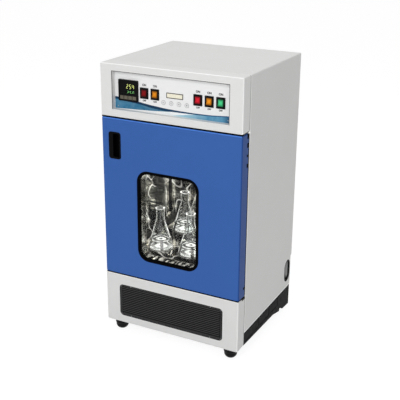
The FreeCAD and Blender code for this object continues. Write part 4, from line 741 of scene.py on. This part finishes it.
def pan_head(radius, height):
    """Pan-head screw, its head up along Z, and the bars of its cross recess."""
    head = turned_form([(radius * across, height * up) for across, up in PAN_HEAD], 24)
    bars = []
    for a, b in ((0.5, 0.09), (0.09, 0.5)):
        corners = [(-a, -b), (a, -b), (a, b), (-a, b)]
        bars.append(prism(*[[(radius * x, radius * y, height * up) for x, y in corners]
                            for up in (0.81, 0.93)]))
    return head, joined(bars)


def screws(name, places, radius, height, facing):
    """A set of zinc pan-head screws on one face, at places given in the row frame."""
    heads, marks = zip(*[[moved(half, place, facing) for half in pan_head(radius, height)]
                         for place in places])
    add_piece(name, joined(heads), zinc_steel, "cabinet", 40.0)
    add_piece(name + "_recesses", joined(marks), ink_black, "cabinet")


# Control panel print

PRINT = 0.00012
PANEL_Y = panel_low.y
BAND_END_GAP = 1.5 * MM
BAND_STEPS = 26

# Edges of the band as (share of the width, height in mm)
BAND_TOP = [(0.0, 39.5), (0.20, 30.5), (0.34, 23.6), (0.46, 19.4), (0.57, 17.6), (0.69, 16.8), (0.82, 17.6),
            (1.0, 22.5)]
LEFT_FOOT = [(0.0, 0.4), (0.17, 3.6), (0.31, 6.2), (0.45, 10.0), (0.58, 16.8), (0.62, 17.0)]
RIGHT_TOP = [(0.50, 0.5), (0.58, 5.6), (0.65, 10.2), (0.72, 14.0), (0.80, 16.6), (1.0, 21.6)]
BAND_FOOT = [(0.0, 0.4), (1.0, 0.4)]
LINE_WIDTHS = [(0.0, 8.0), (0.20, 7.0), (0.35, 8.5), (0.46, 7.5), (0.57, 5.0), (0.70, 3.8), (0.85, 2.8),
               (1.0, 2.6)]
LEFT_END = 0.60
RIGHT_END = 0.925


def through(points, share):
    """Height of a smooth curve through (share, height) points."""
    for (start, low), (end, high) in zip(points, points[1:]):
        if share <= end:
            part = (share - start) / (end - start)
            return low + (high - low) * (part * part * (3.0 - 2.0 * part) + part) * 0.5
    return points[-1][1]


def streak_top(share):
    """The white streak's upper edge: the left wedge's foot, as far as the band's top allows."""
    return min(through(LEFT_FOOT, min(share, LEFT_END)), through(BAND_TOP, share))


def line_top(share):
    """The navy line's upper edge, just over the band's top."""
    return through(BAND_TOP, share) + 0.3


def line_foot(share):
    """The navy line's lower edge."""
    return through(BAND_TOP, share) - through(LINE_WIDTHS, share)


def ribbon(name, start, end, upper, lower, layer, coat):
    """One printed stretch of the band between two shares of the panel's width and two edges."""
    width = opening_width - 2 * BAND_END_GAP
    top, bottom = [], []
    for index in range(BAND_STEPS + 1):
        share = start + (end - start) * index / BAND_STEPS
        for points, edge in ((top, upper), (bottom, lower)):
            height = edge(share) if callable(edge) else through(edge, share)
            points.append((opening_left + BAND_END_GAP + share * width, opening_bottom + height * MM))
    outline = top + [low for low, high in zip(bottom[::-1], top[::-1]) if abs(low[1] - high[1]) > 1e-6]
    add_piece(name, flat_plate(outline, PANEL_Y - (layer + 1) * PRINT, PRINT), coat, "cabinet")


ribbon("band_left", 0.0, LEFT_END, BAND_TOP, LEFT_FOOT, 0,
       graded_print("left_ink", BAND_TEAL, shade(BAND_TEAL, 0.62), 0.0, 0.55, 0.14))
ribbon("band_streak", 0.08, 0.84, streak_top, BAND_FOOT, 0,
       graded_print("streak_ink", WHITE, (0.93, 0.93, 0.93), 0.0, 0.5))
ribbon("band_right", 0.50, RIGHT_END, RIGHT_TOP, BAND_FOOT, 1,
       graded_print("right_ink", BAND_PALE, BAND_BLUE, 0.56, 0.80))
ribbon("band_end", RIGHT_END, 1.0, RIGHT_TOP, BAND_FOOT, 1,
       graded_print("end_ink", BAND_BLUE, BAND_NAVY, RIGHT_END, 0.985, 0.05))
ribbon("band_line", 0.0, 1.0, line_top, line_foot, 2,
       graded_print("navy_ink", shade(BAND_NAVY, 0.55), shade(BAND_NAVY, 1.3), 0.4, 1.0, 0.02))


# Switch marks, as (word, size, height above the rocker's middle)

MARKS = [("ON", 9.2 * MM, 25.5 * MM), ("OFF", 7.2 * MM, -25.0 * MM)]
LETTER_WEIGHT = 0.045


def text_piece(name, words, size, centre):
    """Raised black print made of plain letters, facing -Y."""
    curve = bpy.data.curves.new(name, "FONT")
    curve.body = words
    curve.size = size
    curve.align_x = "CENTER"
    curve.align_y = "CENTER"
    curve.extrude = PRINT / 2
    curve.offset = size * LETTER_WEIGHT
    helper = bpy.data.objects.new(name + "_curve", curve)
    bpy.context.scene.collection.objects.link(helper)
    bpy.context.view_layer.update()
    mesh = bpy.data.meshes.new_from_object(helper)
    bpy.data.objects.remove(helper)
    mesh.transform(Matrix.Translation(centre) @ FACE_FRONT)
    new_piece(name, mesh, ink_black, "cabinet")


for index, rocker in enumerate(ROCKERS):
    low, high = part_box(rocker)
    for word, size, lift in MARKS:
        text_piece(f"mark_{word.lower()}_{index + 1}", word, size,
                   ((low.x + high.x) / 2, PANEL_Y - PRINT / 2, (low.z + high.z) / 2 + lift))


# Round keys: a plain sign and a printed ring on each

KEY_SIGNS = {
    "key_set": [(-2.6, 0.7), (2.6, 0.7), (2.6, -0.7), (-2.6, -0.7)],
    "key_minus": [(-2.4, -1.7), (2.4, -1.7), (0.0, 2.2)],
    "key_plus": [(-2.4, 1.7), (0.0, -2.2), (2.4, 1.7)],
    "key_start": [(-1.9, 1.9), (1.9, 1.9), (1.9, -1.9), (-1.9, -1.9)],
}
KEY_RING = [(7.2 * MM, PRINT), (6.6 * MM, PRINT), (6.6 * MM, 0.0), (7.2 * MM, 0.0)]
for key_name, sign in KEY_SIGNS.items():
    low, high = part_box(key_name)
    middle_x, middle_z = (low.x + high.x) / 2, (low.z + high.z) / 2
    outline = [(middle_x + x * MM, middle_z + z * MM) for x, z in sign]
    ring = loft([circle(radius, height, 40) for radius, height in KEY_RING])
    add_piece(key_name + "_sign", flat_plate(outline, low.y - PRINT, PRINT), ink_grey, key_name)
    add_piece(key_name + "_ring", moved(ring, (middle_x, low.y, middle_z), FACE_FRONT), ink_grey, key_name)


# Controller: digits, key faces and the sunk strip

SEGMENTS = {"0": "abcdef", "2": "abged", "4": "fgbc", "5": "afgcd"}
DIGIT_GAP = 5.4 * MM
DIGIT_BAR = 0.85 * MM
DIGIT_LEAN = 0.04
FIGURES_EDGE = 15.0 * MM
DISPLAY_SINK = 1.0 * MM
STRIP_SINK = 0.6 * MM


def digit_bars(character, corner, width, height):
    """Bars of one seven-segment figure as outlines, leaning a little."""
    half = height / 2
    ends = {"a": ((0, height), (width, height)), "b": ((width, half), (width, height)),
            "c": ((width, 0), (width, half)), "d": ((0, 0), (width, 0)), "e": ((0, 0), (0, half)),
            "f": ((0, half), (0, height)), "g": ((0, half), (width, half))}
    gap = DIGIT_BAR * 0.6
    h = DIGIT_BAR / 2
    outlines = []
    for segment in SEGMENTS[character]:
        (x0, z0), (x1, z1) = ends[segment]
        length = math.hypot(x1 - x0, z1 - z0)
        ux, uz = (x1 - x0) / length, (z1 - z0) / length
        local = [(gap, 0), (gap + h, h), (length - gap - h, h), (length - gap, 0), (length - gap - h, -h),
                 (gap + h, -h)]
        points = [(x0 + ux * along - uz * aside, z0 + uz * along + ux * aside) for along, aside in local]
        outlines.append([(corner[0] + x + z * DIGIT_LEAN, corner[1] + z) for x, z in points])
    return outlines


def number(name, figures, drop, width, height, coat):
    """A row of seven-segment figures, its foot a given drop below the controller's top."""
    y = controller_low.y + DISPLAY_SINK - PRINT
    plates = []
    for index, character in enumerate(reversed(figures)):
        corner = (controller_high.x - FIGURES_EDGE - width - index * (width + DIGIT_GAP),
                  controller_high.z - drop)
        plates += [flat_plate(outline, y, PRINT) for outline in digit_bars(character, corner, width, height)]
    add_piece(name, joined(plates), coat, "cabinet")


number("figures_measured", "254", 27.5 * MM, 5.4 * MM, 13.2 * MM, lit("digit_yellow", DIGIT_YELLOW, 1.6))
number("figures_wanted", "250", 46.0 * MM, 4.4 * MM, 10.4 * MM, lit("digit_green", DIGIT_GREEN, 1.35))

controller_x = (controller_low.x + controller_high.x) / 2
strip_z = (controller_low.z + 4.5 * MM, controller_low.z + 18.5 * MM)
key_strip = rounded_outline((controller_x - 30.5 * MM, controller_x + 30.5 * MM), strip_z, 1.0 * MM, 4)
add_piece("controller_strip", flat_plate(key_strip, controller_low.y + STRIP_SINK - PRINT, PRINT * 0.9),
          printed("key_strip_print", (0.060, 0.054, 0.040), (0.075, 0.068, 0.050)), "cabinet")
key_faces = []
for index in range(4):
    key_x = controller_x + (index - 1.5) * 15.5 * MM
    outline = rounded_outline((key_x - 6.0 * MM, key_x + 6.0 * MM),
                              (strip_z[0] + 1.4 * MM, strip_z[1] - 1.4 * MM), 1.2 * MM, 5)
    key_faces.append(flat_plate(outline, controller_low.y - PRINT, PRINT))
add_piece("controller_keys", joined(key_faces),
          printed("key_face", (0.115, 0.102, 0.078), (0.140, 0.127, 0.098)), "cabinet")


# Speed display: glowing window with two rows of empty cells

LCD_X = (-16.25 * MM, 37.75 * MM)
LCD_Z = (869.4 * MM, 881.6 * MM)
LCD_SINK = 0.6 * MM
CELL_COLUMNS = 16
CELL_PITCH = (LCD_X[1] - LCD_X[0] - 4.0 * MM) / CELL_COLUMNS
CELL_WIDTH = CELL_PITCH * 0.76
CELL_HEIGHT = 4.4 * MM
lcd_face = lcd_low.y + LCD_SINK
add_piece("lcd_window", flat_plate(rounded_outline(LCD_X, LCD_Z, 0.6 * MM, 3), lcd_face - PRINT, PRINT),
          lit("lcd_glow", (0.86, 0.82, 0.66), 0.16), "cabinet")
cells = []
for row in range(2):
    for column in range(CELL_COLUMNS):
        x = LCD_X[0] + 2.0 * MM + (column + 0.12) * CELL_PITCH
        z = LCD_Z[0] + 1.3 * MM + row * 5.0 * MM
        corners = [(x, z), (x + CELL_WIDTH, z), (x + CELL_WIDTH, z + CELL_HEIGHT), (x, z + CELL_HEIGHT)]
        cells.append(flat_plate(corners, lcd_face - PRINT * 1.5, PRINT * 0.5))
add_piece("lcd_cells", joined(cells), printed("lcd_cell", (0.78, 0.75, 0.60), (0.82, 0.79, 0.64)), "cabinet")


# Window gasket: a rounded rubber lip on the door, with its neck in the sheet

WINDOW_RADIUS = 41.0 * MM
lip = gasket_low.y / MM
skin = door_low.y / MM
foot = gasket_high.y / MM
GASKET_SECTION = [
    (0.0, skin), (0.25, lip + 0.45), (1.0, lip + 0.12), (2.2, lip), (5.0, lip + 0.02), (6.0, lip + 0.35),
    (6.8, lip + 0.35), (7.6, lip + 0.05), (9.2, lip + 0.15), (10.1, lip + 0.6), (10.5, lip + 1.5),
    (10.5, lip + 2.9), (8.1, lip + 3.0), (8.1, lip + 7.0), (10.5, lip + 7.1), (10.5, foot), (4.0, foot),
    (4.0, skin)]
gasket_form = outline_sweep(gasket_low, gasket_high, WINDOW_RADIUS,
                            [(inset * MM, y * MM) for inset, y in GASKET_SECTION], 18)
gasket = add_piece("window_gasket_bead", gasket_form, black_rubber, "door", 40.0)
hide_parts("window_gasket")

# Door seal: a soft hollow bead with a groove, in place of the plain ring, as (inset, share of its depth)

SEAL_RADIUS = 16.0 * MM
SEAL_SECTION = [(0.0, 0.0), (0.2, 0.45), (1.4, 0.85), (3.2, 1.0), (4.6, 0.88), (5.6, 0.55), (7.4, 0.55),
                (8.4, 0.88), (9.8, 1.0), (11.6, 0.85), (12.8, 0.45), (13.0, 0.0)]
seal_depth = seal_high.y - seal_low.y
seal_form = outline_sweep(seal_low, seal_high, SEAL_RADIUS,
                          [(inset * MM, seal_low.y + seal_depth * share) for inset, share in SEAL_SECTION], 8)
seal = add_piece("door_seal_bead", seal_form, black_rubber, "door", 50.0)
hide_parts("door_seal")


# Grille: inner bead and four small rivets

BEAD_RADIUS = 14.0 * MM
BEAD_SECTION = [(5.6, 0.0), (5.9, 0.30), (6.6, 0.38), (7.3, 0.30), (7.7, 0.0)]
flange = Vector((GRILLE_FLANGE, 0.0, GRILLE_FLANGE))
frame_low, frame_high = grille_low + flange, grille_high - flange
bead_form = outline_sweep(frame_low, frame_high, BEAD_RADIUS,
                          [(inset * MM, grille_low.y - lift * MM) for inset, lift in BEAD_SECTION], 8)
add_piece("grille_bead", bead_form, moulded("bead_plastic", (0.008, 0.008, 0.009), 0.4, shine=0.05),
          "cabinet", 60.0)

RIVET_SHARE = 0.115
RIVET_INSET = 3.2 * MM
RIVET_PROFILE = [(0.0, 0.36), (0.9, 0.30), (1.5, 0.1), (1.6, -0.2), (0.0, -0.2)]
rivets = []
for share in (RIVET_SHARE, 1.0 - RIVET_SHARE):
    for z in (frame_low.z + RIVET_INSET, frame_high.z - RIVET_INSET):
        dome = turned_form([(radius * MM, height * MM) for radius, height in RIVET_PROFILE], 20)
        x = frame_low.x + (frame_high.x - frame_low.x) * share
        rivets.append(moved(dome, (x, grille_low.y, z), FACE_FRONT))
add_piece("grille_rivets", joined(rivets), zinc_steel, "cabinet", 180.0)


# Screws

COVER_EDGE = 14.0 * MM
COVER_ROWS = 5
COVER_HEAD = 1.3 * MM
cover_span = cover_high.z - cover_low.z - 2 * COVER_EDGE
screws("rear_cover_screws", [(x, cover_high.y - COVER_HEAD,
                              cover_low.z + COVER_EDGE + cover_span * row / (COVER_ROWS - 1))
                             for row in range(COVER_ROWS)
                             for x in (cover_low.x + COVER_EDGE, cover_high.x - COVER_EDGE)],
       3.6 * MM, COVER_HEAD, FACE_BACK)
screws("compressor_cover_screws", [(x * MM, lower_high.y, z)
                                   for z in (lower_low.z + 20 * MM, lower_high.z - 10 * MM)
                                   for x in (-225, -75, 75, 225)], 3.6 * MM, 2.0 * MM, FACE_BACK)
screws("panel_screws", [(x, PANEL_Y - 3 * PRINT, opening_bottom + 9.0 * MM)
                        for x in (opening_left + 12.5 * MM, opening_right - 12.5 * MM)],
       1.7 * MM, 0.9 * MM, FACE_FRONT)


# Flasks: clear liquid, glowing discs and rings as painted glints, and printed graduations

LIQUID_DEPTH = 30.0 * MM
LIQUID_GAP = 0.15 * MM
LIQUID_RADIUS = FLASK_RADIUS - FLASK_WALL - (LIQUID_DEPTH - FLASK_HEEL) * CONE_SLOPE
GLINT_TUBE = 0.75 * MM
RIM_GLINT = (16.3 * MM, flask_high.z - flask_low.z - 0.9 * MM)
HEEL_GLINT = (FLASK_RADIUS - 1.3 * MM, 3.0 * MM)


def liquid():
    """Clear liquid with a small meniscus, just inside the glass."""
    heel = FLASK_HEEL - FLASK_WALL - LIQUID_GAP
    angles = [math.radians(-90 + 15 * step) for step in range(7)]
    profile = [(0.0, FLASK_WALL + LIQUID_GAP)]
    profile += [(FLASK_RADIUS - FLASK_HEEL + heel * math.cos(angle), FLASK_HEEL + heel * math.sin(angle))
                for angle in angles]
    profile += [(LIQUID_RADIUS - LIQUID_GAP, LIQUID_DEPTH),
                (LIQUID_RADIUS - 1.2 * MM, LIQUID_DEPTH - 0.8 * MM),
                (LIQUID_RADIUS - 4.0 * MM, LIQUID_DEPTH - 1.2 * MM), (0.0, LIQUID_DEPTH - 1.2 * MM)]
    return turned_form(profile, 64)


def disc(radius, height):
    """Thin sheet for a glowing painted glint, following a flask's round section at one height."""
    profile = [(0.0, 0.10), (0.8, 0.08), (1.0, 0.0), (0.8, -0.02), (0.0, -0.02)]
    return turned_form([(radius * share, height + lift * MM) for share, lift in profile])


def bright_ring(radius, height):
    """Thin ring of light round a flask, where its wall turns."""
    angles = [math.tau * i / 6 for i in range(7)]
    return turned_form([(radius + GLINT_TUBE * math.cos(angle), height + GLINT_TUBE * math.sin(angle))
                        for angle in angles])


def graduations():
    """Short printed lines up the side of a flask."""
    builder = bmesh.new()
    for index in range(5):
        foot = (32 + 13 * index) * MM
        span = math.radians(9 if index % 2 else 16)
        rows = []
        for height in (foot, foot + 0.8 * MM):
            radius = FLASK_RADIUS - (height - FLASK_HEEL) * CONE_SLOPE + 0.08 * MM
            angles = [span * (i / 8 - 0.5) + 0.45 for i in range(9)]
            rows.append([builder.verts.new((radius * math.sin(angle), -radius * math.cos(angle), height))
                         for angle in angles])
        for i in range(8):
            builder.faces.new((rows[0][i], rows[0][i + 1], rows[1][i + 1], rows[1][i]))
    return builder


def in_flasks(name, make_forms, coat, crease=180.0):
    """One piece from the same forms in every flask."""
    forms = [moved(form, (x, y, flask_low.z)) for x, y in FLASK_PLACES for form in make_forms()]
    add_piece(name, joined(forms), coat, "shaking_platform", crease)


in_flasks("flask_liquid", lambda: [liquid()], clear_glass("water", (0.985, 0.99, 0.985), 1.06))
# Painted glints: glowing discs on the liquid's surface and the flasks' floors, then glowing rings at their
# rims and heels
in_flasks("liquid_surface", lambda: [disc(LIQUID_RADIUS - 3.0 * MM, LIQUID_DEPTH - 1.0 * MM)],
          glowing_glint("surface_glint", 0.42, 14.5))
in_flasks("flask_bases", lambda: [disc(FLASK_RADIUS - FLASK_HEEL, FLASK_WALL - 0.5 * MM)],
          glowing_glint("base_glint", 0.20, 12.5))
in_flasks("flask_glints", lambda: [bright_ring(*RIM_GLINT), bright_ring(*HEEL_GLINT)],
          lit("rim_glint", (0.80, 0.80, 0.76), 0.7))
in_flasks("flask_marks", lambda: [graduations()], printed("ink_white", (0.80, 0.80, 0.80)), 0.0)


# Painted shade: the reveal's shadow line and black strips in the gaps round the door. Then black blocks on the
# door's hinged edge, and a black strip in the chamber's corner

SHADOW_WIDTH = 2.1 * MM
LIP_X = (head_low.x + 1.5 * MM, head_high.x - 1.5 * MM)
LIP_Y = (head_low.y + 1.0 * MM, head_low.y + 11.5 * MM)
STRIP_LIFT = 98.0 * MM


def strip(name, x, y, z, edge=0.3 * MM):
    """A black strip on the cabinet."""
    add_piece(name, bar(x, y, z, edge), black_rubber, "cabinet")


shadow_y = (head_low.y + 0.15 * MM, head_low.y + 1.2 * MM)
add_piece("reveal_line", joined([bar(x, shadow_y, z) for x, z in (
    ((opening_left, opening_right), (opening_top - SHADOW_WIDTH, opening_top)),
    ((opening_left, opening_left + SHADOW_WIDTH), (opening_bottom, opening_top)),
    ((opening_right - SHADOW_WIDTH, opening_right), (opening_bottom, opening_top)))]),
    printed("shadow_grey", (0.095, 0.095, 0.095), (0.125, 0.125, 0.125), 0.6), "cabinet")
# Painted shade: black strips that stand in for the shade in the gaps beside, above and below the door
strip("hinge_side_strip", (side_high.x - 9.0 * MM, side_high.x - 0.4 * MM),
      (head_high.y - 0.9 * MM, head_high.y), (door_low.z + 4.0 * MM, door_high.z - 4.0 * MM), edge=0.2 * MM)
strip("head_lip_strip", LIP_X, LIP_Y, (door_high.z + 1.0 * MM, head_low.z))
strip("plinth_top_strip", LIP_X, LIP_Y, (plinth_high.z, door_low.z - 0.9 * MM))
strip("hinge_leaf", (bracket_high.x + 0.05 * MM, side_high.x - 0.05 * MM),
      (door_low.y + 14.0 * MM, door_high.y - 6.0 * MM), (plinth_high.z, door_low.z - 0.2 * MM))

# Black rubber blocks on the hinged edge of the door, as (share of the door's height, half height)
EDGE_BLOCKS = [(0.986, 8.0 * MM), (0.933, 7.5 * MM), (0.873, 4.0 * MM), (0.815, 6.5 * MM), (0.057, 4.5 * MM)]
BLOCK_X = (door_high.x - 0.8 * MM, door_high.x + 0.06 * MM)
BLOCK_Y = (door_high.y - 13.0 * MM, door_high.y - 0.2 * MM)
edge_blocks = []
for share, half in EDGE_BLOCKS:
    middle = door_low.z + (door_high.z - door_low.z) * share
    block_z = (middle - half, min(middle + half, door_high.z - 0.5 * MM))
    edge_blocks.append(bar(BLOCK_X, BLOCK_Y, block_z, 0.5 * MM))
add_piece("door_edge_blocks", joined(edge_blocks), black_rubber, "door")

strip("corner_black_strip", (duct_low.x + 0.8 * MM, duct_low.x + 6.5 * MM),
      (duct_low.y - 1.6 * MM, duct_low.y - 0.1 * MM), (duct_low.z + STRIP_LIFT, duct_high.z - 2.0 * MM))


# Floor, world, camera and lights

FLOOR_GLOW = 1.13
FLOOR_SHARE = 0.80
WORLD_LIGHT = 0.44


def stage_floor():
    """Pale floor that looks white to the camera and keeps the shadow under the object."""
    builder = bmesh.new()
    bmesh.ops.create_grid(builder, x_segments=1, y_segments=1, size=14.0)
    mesh = bpy.data.meshes.new("floor")
    builder.to_mesh(mesh)
    builder.free()
    floor = bpy.data.objects.new("floor", mesh)
    bpy.context.scene.collection.objects.link(floor)
    coat = Coat("floor_paint", colour=(0.90, 0.90, 0.90), rough=0.85, shine=0.1)
    glow = coat.node("Emission", 0, {"Strength": FLOOR_GLOW})
    blend = coat.node("MixShader", 0, {"Fac": coat.product(coat.seen_directly(), FLOOR_SHARE),
                                       1: coat.shader.outputs[0], 2: glow})
    coat.put(coat.tree.nodes["Material Output"].inputs["Surface"], blend)
    mesh.materials.append(coat.material)


def world_light():
    """White surroundings where rays see them directly, dimmer as a light."""
    world = bpy.data.worlds.new("studio")
    bpy.context.scene.world = world
    world.use_nodes = True
    sky = Nodes(world.node_tree)
    background = sky.tree.nodes["Background"]
    sky.put(background.inputs["Color"], (1.0, 1.0, 1.0))
    sky.put(background.inputs["Strength"], sky.remap(sky.seen_directly(), WORLD_LIGHT, 1.0, 0.0, 1.0))


def camera():
    """Camera at the photograph's viewing angle, with a small shift for its crop."""
    data = bpy.data.cameras.new("camera")
    data.sensor_fit = "HORIZONTAL"
    data.sensor_width = SENSOR_WIDTH
    data.lens = FOCAL_PIXELS * SENSOR_WIDTH / IMAGE_PIXELS
    data.shift_y = SHIFT_Y
    data.clip_end = 100.0
    eye = bpy.data.objects.new("camera", data)
    bpy.context.scene.collection.objects.link(eye)
    matrix = Matrix.Translation(CAMERA_PLACE)
    for angle, axis in ((CAMERA_YAW, "Z"), (90.0 - CAMERA_PITCH, "X"), (CAMERA_ROLL, "Z")):
        matrix = matrix @ Matrix.Rotation(math.radians(angle), 4, axis)
    eye.matrix_world = matrix
    bpy.context.scene.camera = eye


def area_light(name, place, target, size, power):
    """Soft square light aimed at a point."""
    data = bpy.data.lights.new(name, "AREA")
    data.shape = "RECTANGLE"
    data.size = size
    data.size_y = size
    data.energy = power
    lamp = bpy.data.objects.new(name, data)
    bpy.context.scene.collection.objects.link(lamp)
    lamp.location = place
    lamp.rotation_euler = (Vector(target) - Vector(place)).to_track_quat("-Z", "Y").to_euler()


stage_floor()
world_light()
camera()
area_light("key_light", (0.3, -5.7, 3.3), (0.0, 0.0, 0.5), 3.4, 158.0)
area_light("side_light", (2.7, -2.5, 2.3), (0.2, -0.1, 0.6), 1.5, 13.0)
area_light("top_light", (0.2, 0.4, 3.4), (0.0, 0.0, 0.5), 2.2, 23.0)
bpy.context.scene.view_settings.view_transform = "Standard"
